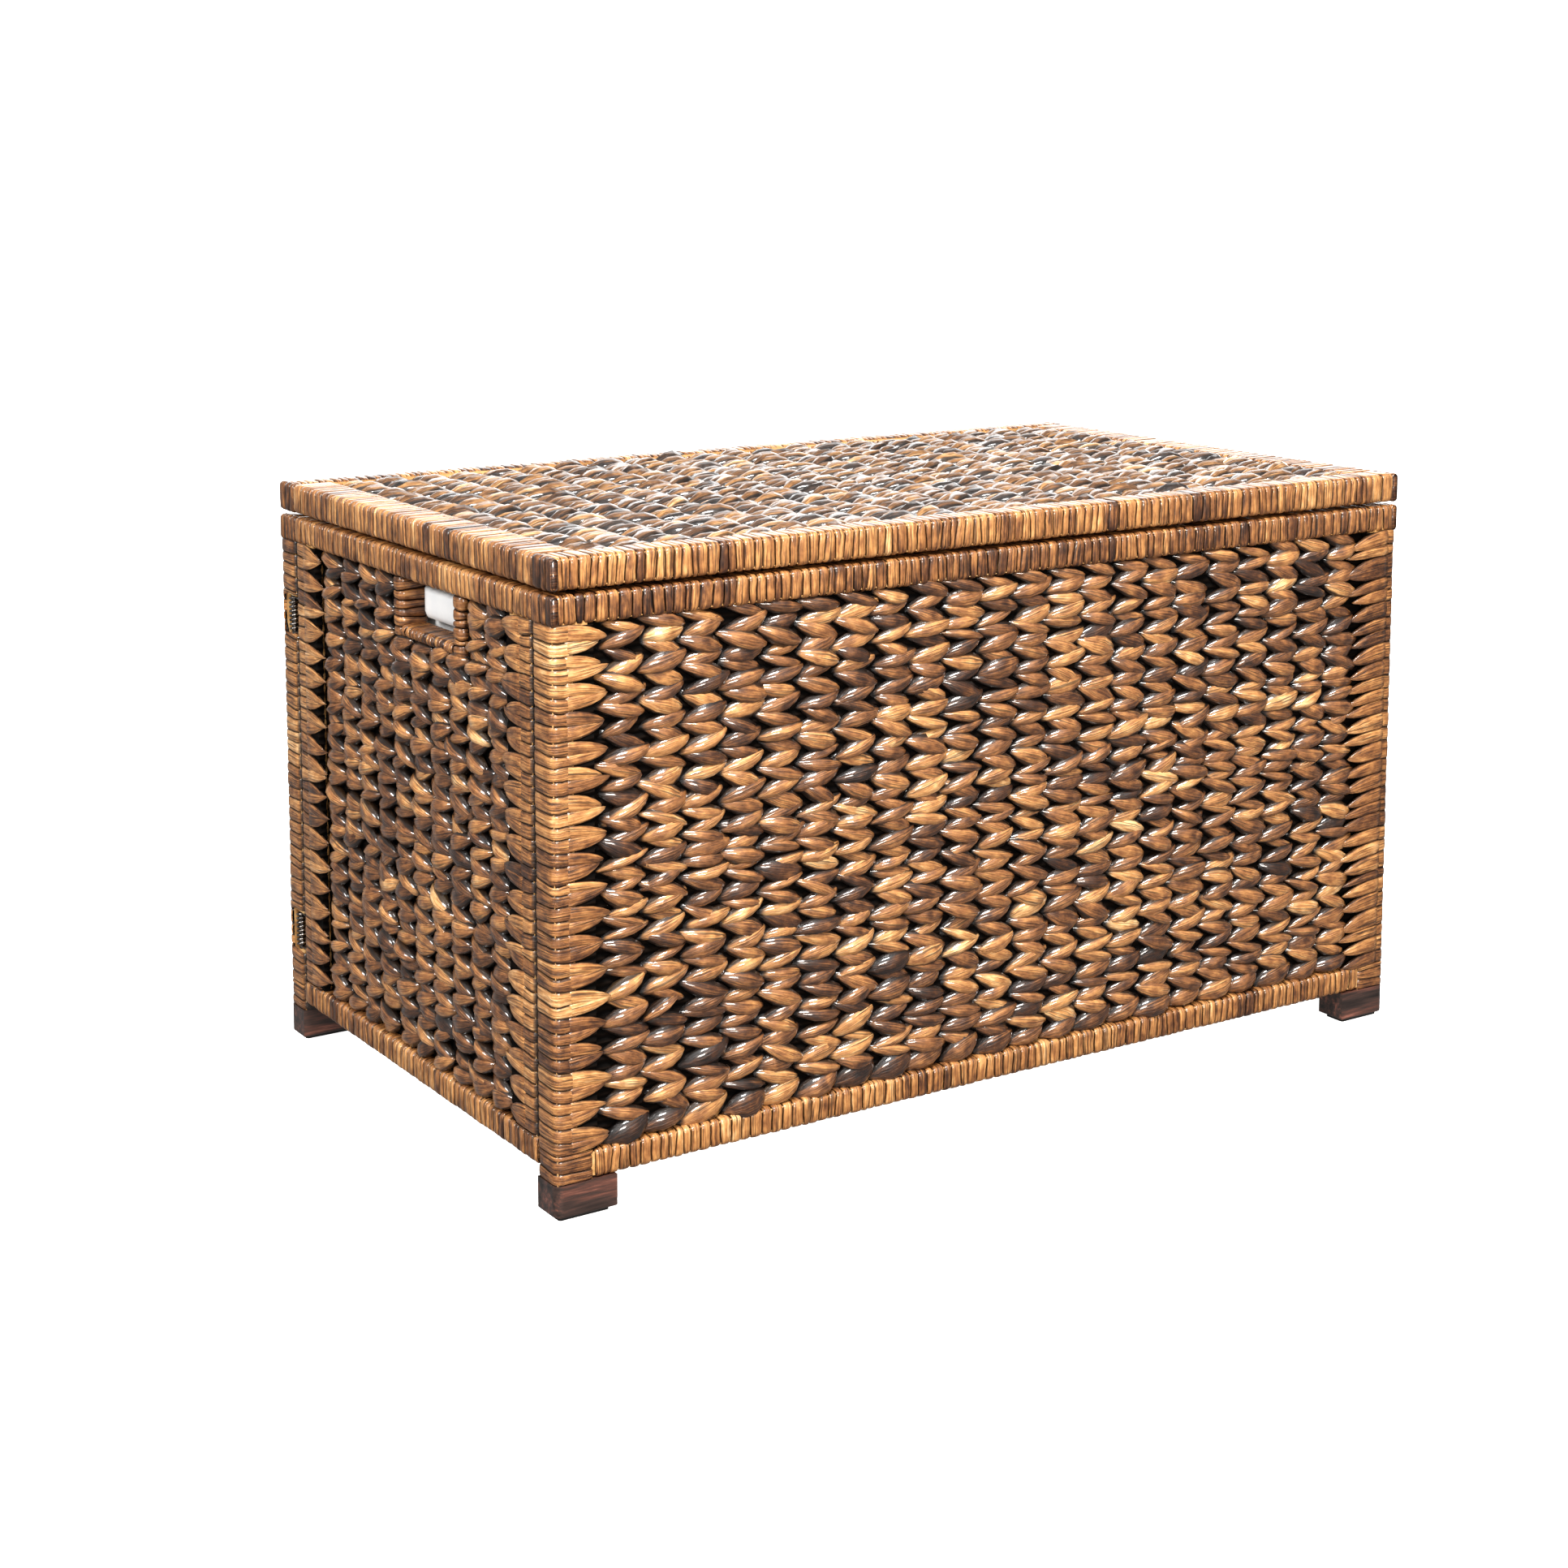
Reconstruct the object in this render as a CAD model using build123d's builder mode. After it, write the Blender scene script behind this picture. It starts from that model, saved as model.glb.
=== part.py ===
"""Wicker storage trunk, in millimetres.

Four wall panels and a lid, each a glued timber frame wrapped in banana leaf, with rattan
stakes that carry a woven field. Wire coils join the panels and hinge the lid.

Origin: on the floor, under the middle of the trunk. +X runs along its length, +Y towards
the hinged back, +Z up.
"""
import os

from build123d import *

# Overall sizes
trunk_length = 762.0
trunk_depth = 444.5
trunk_height = 444.5

# Feet and glides
glide_height = 3.0
glide_inset = 4.0
foot_length = 46.0
foot_depth = 26.0
foot_height = 22.0
foot_corner_radius = 6.0
foot_edge_radius = 1.0

# Lid
lid_thickness = 23.0
lid_gap = 2.0
lid_end_rail_width = 34.0
lid_long_rail_width = 26.0

# Wall panels
panel_thickness = 28.0
panel_seam = 0.3
top_rail_height = 21.0
bottom_rail_height = 20.0
corner_post_width = 30.0
side_post_width = 34.0
side_panel_lift = 6.0
weave_recess = 2.0
wrap_thickness = 2.0
rail_edge_radius = 4.0

# Stakes that the leaf is twined round
stake_diameter = 4.0
stake_pitch = 32.0
stake_seat = 8.0

# Hand slots, under the top rail of each side panel
slot_height = 34.0
slot_width = 82.0
slot_forward = 26.0
slot_trim_width = 14.0
slot_sill_height = 9.0
slot_sill_radius = 3.5
sill_dowel_diameter = 5.0

# Wire coils and the steel pins that they turn on
wire_diameter = 2.0
coil_pitch = 3.4
coil_turns = 8
coil_tail = 15.0
pin_diameter = 3.8
running_clearance = 0.1
recess_clearance = 0.8
pin_seat = 7.0
corner_coil_inset = 12.0
corner_coil_heights = (88.0, 341.0)

# Lid hinges, along the top of the back panel
hinge_edge_radius = 7.0
hinge_spacing = 260.0
hinge_count = 3
staple_leg = 14.0
staple_bend_radius = 3.5

# Floor and lining
floor_thickness = 6.0
floor_clearance = 1.0
ledge_height = 15.0
ledge_depth = 14.0
liner_gap = 3.0
liner_lift = 0.3
liner_thickness = 1.5
liner_rim_drop = 6.0
liner_corner_radius = 12.0

# Screws
foot_screw_diameter = 4.0
foot_screw_head_diameter = 8.0
foot_screw_head_height = 2.5
foot_screw_head_depth = 1.0
foot_screw_length = 34.0
foot_screw_spacing = 13.0
ledge_screw_diameter = 3.0
ledge_screw_head_diameter = 6.0
ledge_screw_head_height = 1.8
ledge_screw_length = 24.0
ledge_screw_spacing = 190.0
ledge_screw_count = 4

# Levels and places that the sizes above settle
half_length = trunk_length / 2
half_depth = trunk_depth / 2
wall_middle = panel_thickness / 2
weave_thickness = panel_thickness - 2 * weave_recess
lid_weave_thickness = lid_thickness - 2 * weave_recess
body_bottom = glide_height + foot_height
body_top = trunk_height - lid_thickness - lid_gap
side_bottom = body_bottom + side_panel_lift
side_width = trunk_depth - 2 * (panel_thickness + panel_seam)
inner_x = half_length - panel_thickness
inner_y = half_depth - panel_thickness
coil_radius = (pin_diameter + wire_diameter) / 2 + running_clearance
coil_outer_radius = coil_radius + wire_diameter / 2
coil_height = coil_turns * coil_pitch
recess_radius = coil_outer_radius + recess_clearance
recess_length = coil_height + wire_diameter + 2 * recess_clearance

os.makedirs("parts", exist_ok=True)


def save(part, name):
    """Label a finished piece and write it as its own file."""
    part.label = name
    export_step(part, f"parts/{name}.step")


# --- Panels: each lies in its own plane, local x along it, local y up its height, or from
# front to back on the lid, and local z outwards, with z = 0 halfway through its thickness.
class Panel:
    """The sizes of one framed and woven panel."""

    def __init__(self, name, plane, width, ys, thickness, weave, post_width, rails, posts_reach_floor):
        self.name = name
        self.plane = plane
        self.width = width
        self.low, self.high = ys
        self.thickness = thickness
        self.weave_thickness = weave
        self.post_width = post_width
        self.low_rail, self.high_rail = rails
        self.posts_reach_floor = posts_reach_floor
        self.field_xs = (post_width - width / 2, width / 2 - post_width)
        self.field_ys = (self.low + self.low_rail, self.high - self.high_rail)
        field_width = width - 2 * post_width
        columns = round(field_width / stake_pitch)
        spacing = field_width / columns
        self.stake_xs = [spacing * (i + 0.5) - field_width / 2 for i in range(columns)]


wall_rails = (bottom_rail_height, top_rail_height)
front = Panel(
    "front",
    Plane(origin=(0, wall_middle - half_depth, 0), x_dir=(1, 0, 0), z_dir=(0, -1, 0)),
    trunk_length, (body_bottom, body_top), panel_thickness, weave_thickness,
    corner_post_width, wall_rails, True,
)
back = Panel(
    "back",
    Plane(origin=(0, half_depth - wall_middle, 0), x_dir=(-1, 0, 0), z_dir=(0, 1, 0)),
    trunk_length, (body_bottom, body_top), panel_thickness, weave_thickness,
    corner_post_width, wall_rails, True,
)
left = Panel(
    "left",
    Plane(origin=(wall_middle - half_length, 0, 0), x_dir=(0, -1, 0), z_dir=(-1, 0, 0)),
    side_width, (side_bottom, body_top), panel_thickness, weave_thickness,
    side_post_width, wall_rails, False,
)
right = Panel(
    "right",
    Plane(origin=(half_length - wall_middle, 0, 0), x_dir=(0, 1, 0), z_dir=(1, 0, 0)),
    side_width, (side_bottom, body_top), panel_thickness, weave_thickness,
    side_post_width, wall_rails, False,
)
lid = Panel(
    "lid",
    Plane.XY.offset(trunk_height - lid_thickness / 2),
    trunk_length, (-half_depth, half_depth), lid_thickness, lid_weave_thickness,
    lid_end_rail_width, (lid_long_rail_width, lid_long_rail_width), False,
)


def slab(plane, xs, ys, thickness):
    """A plain box between two local x and two local y places."""
    with BuildPart(plane) as box:
        with Locations(((xs[0] + xs[1]) / 2, (ys[0] + ys[1]) / 2, 0)):
            Box(xs[1] - xs[0], ys[1] - ys[0], thickness)
    return box.part


def timber_frame(panel, cuts):
    """A glued rectangle of timber, one wrap thickness inside the panel's outline."""
    skin = wrap_thickness
    timber = panel.thickness - 2 * skin
    outer = panel.width / 2 - skin
    post_low = panel.low if panel.posts_reach_floor else panel.low + skin
    with BuildPart() as frame:
        add(slab(panel.plane, (-outer, outer), (panel.field_ys[1] + skin, panel.high - skin), timber))
        add(slab(panel.plane, (-outer, outer), (panel.low + skin, panel.field_ys[0] - skin), timber))
        for side in (-1, 1):
            post_xs = sorted((side * outer, side * (panel.field_xs[1] + skin)))
            add(slab(panel.plane, post_xs, (post_low, panel.high - skin), timber))
        for piece in cuts:
            add(piece, mode=Mode.SUBTRACT)
    return frame.part


def rattan_stakes(panel, cut_stakes=(), cut_level=0.0):
    """Round stakes set in the two long rails. Those named in cut_stakes stop at cut_level."""
    with BuildPart(panel.plane) as stakes:
        for index, x in enumerate(panel.stake_xs):
            low = panel.field_ys[0] - wrap_thickness - stake_seat
            high = panel.field_ys[1] + wrap_thickness + stake_seat
            if index in cut_stakes:
                high = cut_level
            with Locations(Location((x, (low + high) / 2, 0), (90, 0, 0))):
                Cylinder(stake_diameter / 2, high - low)
    return stakes.part


def leaf_wrap(panel, xs, ys, lengthwise, cuts, hinge_edge=None):
    """A wrapped rail or post: rounded along its length and filled by the timber inside it."""
    with BuildPart() as wrap:
        add(slab(panel.plane, xs, ys, panel.thickness))
        long_edges = wrap.edges().filter_by(Axis((0, 0, 0), lengthwise))
        if hinge_edge is not None:
            rolled = long_edges.sort_by_distance(hinge_edge)[0]
            corner = rolled.center()
            fillet(rolled, hinge_edge_radius)
            long_edges = wrap.edges().filter_by(Axis((0, 0, 0), lengthwise))
            long_edges = [e for e in long_edges if (e.center() - corner).length > 2 * hinge_edge_radius]
        fillet(long_edges, rail_edge_radius)
        for piece in cuts:
            add(piece, mode=Mode.SUBTRACT)
    return wrap.part


def woven_field(panel, cuts):
    """The twined leaf, as one thick mat with a hole for each stake."""
    with BuildPart() as weave:
        add(slab(panel.plane, panel.field_xs, panel.field_ys, panel.weave_thickness))
        for piece in cuts:
            add(piece, mode=Mode.SUBTRACT)
    return weave.part


# --- Wire coils: a close coil turns on a steel pin, and its two ends are turned out into
# the panel that it holds.
with BuildPart() as coil:
    with BuildLine() as path:
        turns = Helix(coil_pitch, coil_height, coil_radius, center=(0, 0, -coil_height / 2))
    with BuildSketch(Plane(origin=turns @ 0, z_dir=turns % 0)):
        Circle(wire_diameter / 2)
    sweep(path=path.line, is_frenet=True)
    for end in (turns @ 0, turns @ 1):
        with Locations(Location((end.X, end.Y, end.Z))):
            Sphere(wire_diameter / 2)
        with Locations(Location((end.X + coil_tail / 2, end.Y, end.Z), (0, 90, 0))):
            Cylinder(wire_diameter / 2, coil_tail)


def wire_coil(plane):
    """A coil about the plane's z, with both wire ends turned out along its x."""
    return coil.part.moved(plane.location)


def coil_tails(plane):
    """The holes that a coil's two wire ends need."""
    with BuildPart() as tails:
        for end in (-coil_height / 2, coil_height / 2):
            with Locations(Location((coil_radius + coil_tail / 2, 0, end), (0, 90, 0))):
                Cylinder(wire_diameter / 2, coil_tail)
    return tails.part.moved(plane.location)


# --- Corner coils: two at each corner. At the back they lie in the ends of the back panel
# and hold the side panels. At the front they lie inside, in the side panels' posts, and
# hold the front panel. A coil's wire ends always run towards the front.
def corner_coil_planes(corner_x, corner_y):
    """The planes of one corner's two coils: z up, x towards the front."""
    if corner_y > 0:
        x = half_length - coil_outer_radius
        y = inner_y + corner_coil_inset
    else:
        x = inner_x + coil_outer_radius
        y = corner_coil_inset - side_width / 2
    return [Plane(origin=(corner_x * x, y, z), x_dir=(0, -1, 0), z_dir=(0, 0, 1)) for z in corner_coil_heights]


def straight_pin(plane):
    """A steel pin along the plane's z, long enough to seat in the panel at both ends."""
    with BuildPart() as pin:
        Cylinder(pin_diameter / 2, recess_length + 2 * pin_seat)
    return pin.part.moved(plane.location)


def coil_recess(plane):
    """The slot that a corner coil lies in, open at the panel's face and at the seam."""
    reach = corner_coil_inset + panel_seam + recess_radius
    with BuildPart() as recess:
        with Locations((reach / 2 - recess_radius, 0, 0)):
            Box(reach, 2 * recess_radius, recess_length)
    return recess.part.moved(plane.location)


corner_planes = {
    (face, side): corner_coil_planes(corner_x, corner_y)
    for face, corner_y in (("front", -1), ("back", 1))
    for side, corner_x in (("left", -1), ("right", 1))
}
corner_cuts = {"left": [], "right": []}
for (face, side), planes in corner_planes.items():
    for plane in planes:
        corner_cuts[side] += [coil_recess(plane), coil_tails(plane), straight_pin(plane)]
    with BuildPart() as corner_coils:
        for plane in planes:
            add(wire_coil(plane))
    save(corner_coils.part, f"{face}_{side}_corner_coils")

with BuildPart() as corner_pins:
    for planes in corner_planes.values():
        for plane in planes:
            add(straight_pin(plane))
save(corner_pins.part, "corner_pins")


# --- Lid hinges: coils fixed in the lid's back rail turn on staples driven into the back
# panel. Both rails are hollowed round the hinge line, and their meeting edges are rolled.
hinge_y = half_depth - coil_outer_radius
hinge_z = body_top + lid_gap / 2
hinge_line = Vector(0, half_depth, hinge_z)
staple_half = recess_length / 2 + pin_diameter / 2
hinge_xs = [hinge_spacing * (i - (hinge_count - 1) / 2) for i in range(hinge_count)]
hinge_planes = [
    Plane(origin=(x, hinge_y, hinge_z), x_dir=(0, 0, 1), z_dir=(1, 0, 0)) for x in hinge_xs
]

for number, plane in enumerate(hinge_planes, start=1):
    save(wire_coil(plane), f"lid_hinge_coil_{number}")


def hinge_staple(x):
    """A U of steel rod: its back is the hinge pin and its legs go down into the wall."""
    with BuildPart() as staple:
        with BuildLine() as rod:
            FilletPolyline(
                (x - staple_half, hinge_y, hinge_z - staple_leg),
                (x - staple_half, hinge_y, hinge_z),
                (x + staple_half, hinge_y, hinge_z),
                (x + staple_half, hinge_y, hinge_z - staple_leg),
                radius=staple_bend_radius,
            )
        with BuildSketch(Plane(origin=rod.line @ 0, z_dir=rod.line % 0)):
            Circle(pin_diameter / 2)
        sweep(path=rod.line)
    return staple.part


with BuildPart() as lid_hinge_staples:
    for x in hinge_xs:
        add(hinge_staple(x))
save(lid_hinge_staples.part, "lid_hinge_staples")

with BuildPart() as hinge_hollows:
    for x in hinge_xs:
        with Locations(Location((x, hinge_y, hinge_z), (0, 90, 0))):
            Cylinder(recess_radius, 2 * staple_half + pin_diameter + 2 * recess_clearance)

back_hinge_cuts = [hinge_hollows.part, lid_hinge_staples.part]
lid_hinge_cuts = [hinge_hollows.part] + [coil_tails(plane) for plane in hinge_planes]


# --- Feet: hardwood blocks screwed up into the corner posts, each on a plastic glide.
foot_corners = {
    (face, side): (corner_x * (half_length - foot_length / 2), corner_y * (half_depth - foot_depth / 2))
    for face, corner_y in (("front", -1), ("back", 1))
    for side, corner_x in (("left", -1), ("right", 1))
}

with BuildPart() as foot_screws:
    head_low = glide_height + foot_screw_head_depth
    for (face, side), (x, y) in foot_corners.items():
        post_x = (half_length - corner_post_width / 2) * (1 if x > 0 else -1)
        for offset in (-foot_screw_spacing / 2, foot_screw_spacing / 2):
            with Locations((post_x + offset, y, head_low)):
                Cylinder(
                    foot_screw_head_diameter / 2, foot_screw_head_height,
                    align=(Align.CENTER, Align.CENTER, Align.MIN),
                )
                Cylinder(
                    foot_screw_diameter / 2, foot_screw_length,
                    align=(Align.CENTER, Align.CENTER, Align.MIN),
                )
save(foot_screws.part, "foot_screws")

with BuildPart() as foot_screw_bores:
    for (face, side), (x, y) in foot_corners.items():
        post_x = (half_length - corner_post_width / 2) * (1 if x > 0 else -1)
        for offset in (-foot_screw_spacing / 2, foot_screw_spacing / 2):
            with Locations((post_x + offset, y, glide_height)):
                Cylinder(
                    foot_screw_head_diameter / 2, foot_screw_head_depth,
                    align=(Align.CENTER, Align.CENTER, Align.MIN),
                )

for (face, side), (x, y) in foot_corners.items():
    with BuildPart() as foot:
        with Locations((x, y, glide_height)):
            Box(foot_length, foot_depth, foot_height, align=(Align.CENTER, Align.CENTER, Align.MIN))
        upright = foot.edges().filter_by(Axis.Z)
        outer_corner = upright.sort_by_distance((2 * x, 2 * y, 0))[0]
        fillet(outer_corner, foot_corner_radius)
        fillet(foot.faces().sort_by(Axis.Z)[0].edges(), foot_edge_radius)
        add(foot_screws.part, mode=Mode.SUBTRACT)
        add(foot_screw_bores.part, mode=Mode.SUBTRACT)
    save(foot.part, f"{face}_{side}_foot")

    with BuildPart() as glide:
        with BuildSketch():
            with Locations((x, y)):
                RectangleRounded(
                    foot_length - 2 * glide_inset, foot_depth - 2 * glide_inset,
                    foot_corner_radius - glide_inset,
                )
        extrude(amount=glide_height)
    save(glide.part, f"{face}_{side}_glide")


# --- Floor: a plywood board on two ledges, which are screwed to the front and back walls.
ledge_low = body_bottom + wrap_thickness
floor_low = ledge_low + ledge_height
ledge_half = inner_x - floor_clearance
ledge_screw_xs = [ledge_screw_spacing * (i - (ledge_screw_count - 1) / 2) for i in range(ledge_screw_count)]

with BuildPart() as ledge_screws:
    for face_y in (-1, 1):
        start = face_y * (inner_y - ledge_depth)
        for x in ledge_screw_xs:
            with Locations(Location((x, start, ledge_low + ledge_height / 2), (-90 * face_y, 0, 0))):
                Cylinder(
                    ledge_screw_head_diameter / 2, ledge_screw_head_height,
                    align=(Align.CENTER, Align.CENTER, Align.MIN),
                )
                Cylinder(
                    ledge_screw_diameter / 2, ledge_screw_length,
                    align=(Align.CENTER, Align.CENTER, Align.MIN),
                )
save(ledge_screws.part, "ledge_screws")

for face, face_y in (("front", -1), ("back", 1)):
    with BuildPart() as ledge:
        with Locations((0, face_y * (inner_y - ledge_depth / 2), ledge_low)):
            Box(2 * ledge_half, ledge_depth, ledge_height, align=(Align.CENTER, Align.CENTER, Align.MIN))
        add(ledge_screws.part, mode=Mode.SUBTRACT)
    save(ledge.part, f"{face}_floor_ledge")

with BuildPart() as floor_board:
    with Locations((0, 0, floor_low + floor_thickness / 2)):
        Box(2 * (inner_x - floor_clearance), 2 * (inner_y - floor_clearance), floor_thickness)
save(floor_board.part, "floor_board")


# --- Lining: a sewn cotton bag that stands on the floor board, open at the top.
liner_low = floor_low + floor_thickness + liner_lift
liner_high = body_top - liner_rim_drop
liner_x = inner_x - liner_gap
liner_y = inner_y - liner_gap

with BuildPart() as liner:
    with BuildSketch(Plane.XY.offset(liner_low)):
        RectangleRounded(2 * liner_x, 2 * liner_y, liner_corner_radius)
    extrude(amount=liner_high - liner_low)
    with BuildSketch(Plane.XY.offset(liner_low + liner_thickness)):
        RectangleRounded(
            2 * (liner_x - liner_thickness), 2 * (liner_y - liner_thickness),
            liner_corner_radius - liner_thickness,
        )
    extrude(amount=liner_high - liner_low, mode=Mode.SUBTRACT)
save(liner.part, "liner")


# --- Front and back walls: the posts run from the top rail down to the feet, and the
# bottom rail lies between them.
def save_wall(panel, post_names, cuts, top_cuts=(), hinge_edge=None):
    """Make and write the seven pieces of the front or back wall."""
    stakes = rattan_stakes(panel)
    frame = timber_frame(panel, [stakes, foot_screws.part, ledge_screws.part, *cuts, *top_cuts])
    save(stakes, f"{panel.name}_stakes")
    save(frame, f"{panel.name}_frame")
    half = panel.width / 2
    inner_cuts = [frame, stakes, foot_screws.part, ledge_screws.part, *cuts]
    top_ys = (panel.field_ys[1], panel.high)
    top = leaf_wrap(
        panel, (-half, half), top_ys, panel.plane.x_dir, [*inner_cuts, *top_cuts], hinge_edge
    )
    save(top, f"{panel.name}_top_rail")
    bottom_ys = (panel.low, panel.field_ys[0])
    bottom = leaf_wrap(panel, panel.field_xs, bottom_ys, panel.plane.x_dir, inner_cuts)
    save(bottom, f"{panel.name}_bottom_rail")
    post_ys = (panel.low, panel.field_ys[1])
    post_spans = ((-half, panel.field_xs[0]), (panel.field_xs[1], half))
    for name, xs in zip(post_names, post_spans):
        post = leaf_wrap(panel, xs, post_ys, panel.plane.y_dir, inner_cuts)
        save(post, f"{panel.name}_{name}_post")
    save(woven_field(panel, [stakes]), f"{panel.name}_weave")


all_corner_cuts = corner_cuts["left"] + corner_cuts["right"]
save_wall(front, ("left", "right"), all_corner_cuts)
save_wall(back, ("right", "left"), all_corner_cuts, back_hinge_cuts, hinge_line)


# --- Side walls: they hang a little above the front and back walls. Under the top rail the
# stakes are cut away for a hand slot, with a wrapped dowel as its sill.
slot_top = left.field_ys[1]
slot_low = slot_top - slot_height
sill_low = slot_low - slot_sill_height
dowel_middle = (slot_low + sill_low) / 2


def slot_stakes(panel, towards_front):
    """The numbers of the two stakes that stand beside the slot."""
    jambs = []
    for end in (-1, 1):
        edge = towards_front * slot_forward + end * (slot_width + slot_trim_width) / 2
        jambs.append(min(range(len(panel.stake_xs)), key=lambda i: abs(panel.stake_xs[i] - edge)))
    return jambs


def sill_dowel(panel, jambs, stakes):
    """The dowel under the slot, let in to the stakes at its ends."""
    low_x, high_x = (panel.stake_xs[i] for i in jambs)
    middle = panel.plane * Location(((low_x + high_x) / 2, dowel_middle, 0), (0, 90, 0))
    with BuildPart() as dowel:
        with Locations(middle):
            Cylinder(sill_dowel_diameter / 2, high_x - low_x)
        add(stakes, mode=Mode.SUBTRACT)
    return dowel.part


def slot_trim(panel, jambs, cuts, thickness):
    """The leaf wrapped round the two stakes and the dowel, as one U round the slot."""
    low_x, high_x = (panel.stake_xs[i] for i in jambs)
    half_trim = slot_trim_width / 2
    with BuildPart() as trim:
        add(slab(panel.plane, (low_x - half_trim, high_x + half_trim), (sill_low, slot_top), thickness))
        opening = slab(
            panel.plane, (low_x + half_trim, high_x - half_trim),
            (slot_low, slot_top + slot_trim_width), thickness,
        )
        add(opening, mode=Mode.SUBTRACT)
        sill_edges = trim.edges().filter_by(Axis((0, 0, 0), panel.plane.x_dir))
        sill_edges = sill_edges.filter_by(lambda e: abs(e.center().Z - slot_low) < 1)
        fillet(sill_edges, slot_sill_radius)
        for piece in cuts:
            add(piece, mode=Mode.SUBTRACT)
    return trim.part


def slot_notch(panel, jambs):
    """The part of the woven field that the slot and its trim take up."""
    low_x, high_x = (panel.stake_xs[i] for i in jambs)
    half_trim = slot_trim_width / 2
    xs = (low_x - half_trim, high_x + half_trim)
    return slab(panel.plane, xs, (sill_low, slot_top), panel.thickness)


dowels = []
for panel, towards_front, post_names in ((left, 1, ("back", "front")), (right, -1, ("front", "back"))):
    jambs = slot_stakes(panel, towards_front)
    cut_level = dowel_middle - sill_dowel_diameter / 2
    stakes = rattan_stakes(panel, range(jambs[0] + 1, jambs[1]), cut_level)
    cuts = corner_cuts[panel.name]
    frame = timber_frame(panel, [stakes, *cuts])
    dowel = sill_dowel(panel, jambs, stakes)
    dowels.append(dowel)
    save(stakes, f"{panel.name}_stakes")
    save(frame, f"{panel.name}_frame")
    inner_cuts = [frame, stakes, *cuts]
    half = panel.width / 2
    for name, ys in (("top", (panel.field_ys[1], panel.high)), ("bottom", (panel.low, panel.field_ys[0]))):
        rail = leaf_wrap(panel, (-half, half), ys, panel.plane.x_dir, inner_cuts)
        save(rail, f"{panel.name}_{name}_rail")
    post_spans = ((-half, panel.field_xs[0]), (panel.field_xs[1], half))
    for name, xs in zip(post_names, post_spans):
        post = leaf_wrap(panel, xs, panel.field_ys, panel.plane.y_dir, inner_cuts)
        save(post, f"{panel.name}_{name}_post")
    save(slot_trim(panel, jambs, [stakes, dowel], panel.weave_thickness), f"{panel.name}_slot_trim")
    save(woven_field(panel, [stakes, slot_notch(panel, jambs)]), f"{panel.name}_weave")

with BuildPart() as slot_dowels:
    for dowel in dowels:
        add(dowel)
save(slot_dowels.part, "slot_dowels")


# --- Lid: the front and back rails run its whole length, and the end rails lie between them.
lid_stakes = rattan_stakes(lid)
lid_frame = timber_frame(lid, [lid_stakes, *lid_hinge_cuts])
save(lid_stakes, "lid_stakes")
save(lid_frame, "lid_frame")
lid_cuts = [lid_frame, lid_stakes]
front_ys = (lid.low, lid.field_ys[0])
back_ys = (lid.field_ys[1], lid.high)
whole_width = (-half_length, half_length)
save(leaf_wrap(lid, whole_width, front_ys, (1, 0, 0), lid_cuts), "lid_front_rail")
lid_back_rail = leaf_wrap(lid, whole_width, back_ys, (1, 0, 0), [*lid_cuts, *lid_hinge_cuts], hinge_line)
save(lid_back_rail, "lid_back_rail")
save(leaf_wrap(lid, (-half_length, lid.field_xs[0]), lid.field_ys, (0, 1, 0), lid_cuts), "lid_left_rail")
save(leaf_wrap(lid, (lid.field_xs[1], half_length), lid.field_ys, (0, 1, 0), lid_cuts), "lid_right_rail")
save(woven_field(lid, [lid_stakes]), "lid_weave")
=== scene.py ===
"""Wicker storage trunk: banana leaf twined on rattan stakes, in four wrapped panels and a lid."""
import math

import bpy
import numpy as np
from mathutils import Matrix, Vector


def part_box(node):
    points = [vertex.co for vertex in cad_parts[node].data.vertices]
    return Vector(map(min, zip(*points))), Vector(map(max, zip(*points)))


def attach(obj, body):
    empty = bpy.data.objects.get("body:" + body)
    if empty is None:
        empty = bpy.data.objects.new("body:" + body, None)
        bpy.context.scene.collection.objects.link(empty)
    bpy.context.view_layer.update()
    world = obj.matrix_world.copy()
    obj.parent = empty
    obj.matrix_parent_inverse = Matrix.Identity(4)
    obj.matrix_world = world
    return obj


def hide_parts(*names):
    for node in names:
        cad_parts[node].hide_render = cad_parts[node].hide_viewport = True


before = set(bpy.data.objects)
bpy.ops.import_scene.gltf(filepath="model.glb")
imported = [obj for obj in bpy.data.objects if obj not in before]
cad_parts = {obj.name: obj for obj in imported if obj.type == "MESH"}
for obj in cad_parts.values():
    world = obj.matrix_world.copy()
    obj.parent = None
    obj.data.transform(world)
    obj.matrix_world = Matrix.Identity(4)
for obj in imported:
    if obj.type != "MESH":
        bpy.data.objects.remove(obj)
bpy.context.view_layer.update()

mm = 0.001

# ---------------------------------------------------------------------------------------------
# Feet and glides: blocks of hardwood, sawn, eased, stained dark and lacquered, each screwed up
# into the corner of a panel. A thin plastic glide is tacked under each one.
# ---------------------------------------------------------------------------------------------
feet = ["front_left_foot", "front_right_foot", "back_left_foot", "back_right_foot"]
glides = ["front_left_glide", "front_right_glide", "back_left_glide", "back_right_glide"]


def linear_colour(hex_value):
    """The linear colour, with alpha, of an sRGB hex value."""
    channels = [int(hex_value[i:i + 2], 16) / 255 for i in (1, 3, 5)]
    return tuple(c / 12.92 if c <= 0.04045 else ((c + 0.055) / 1.055) ** 2.4 for c in channels) + (1.0,)


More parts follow.
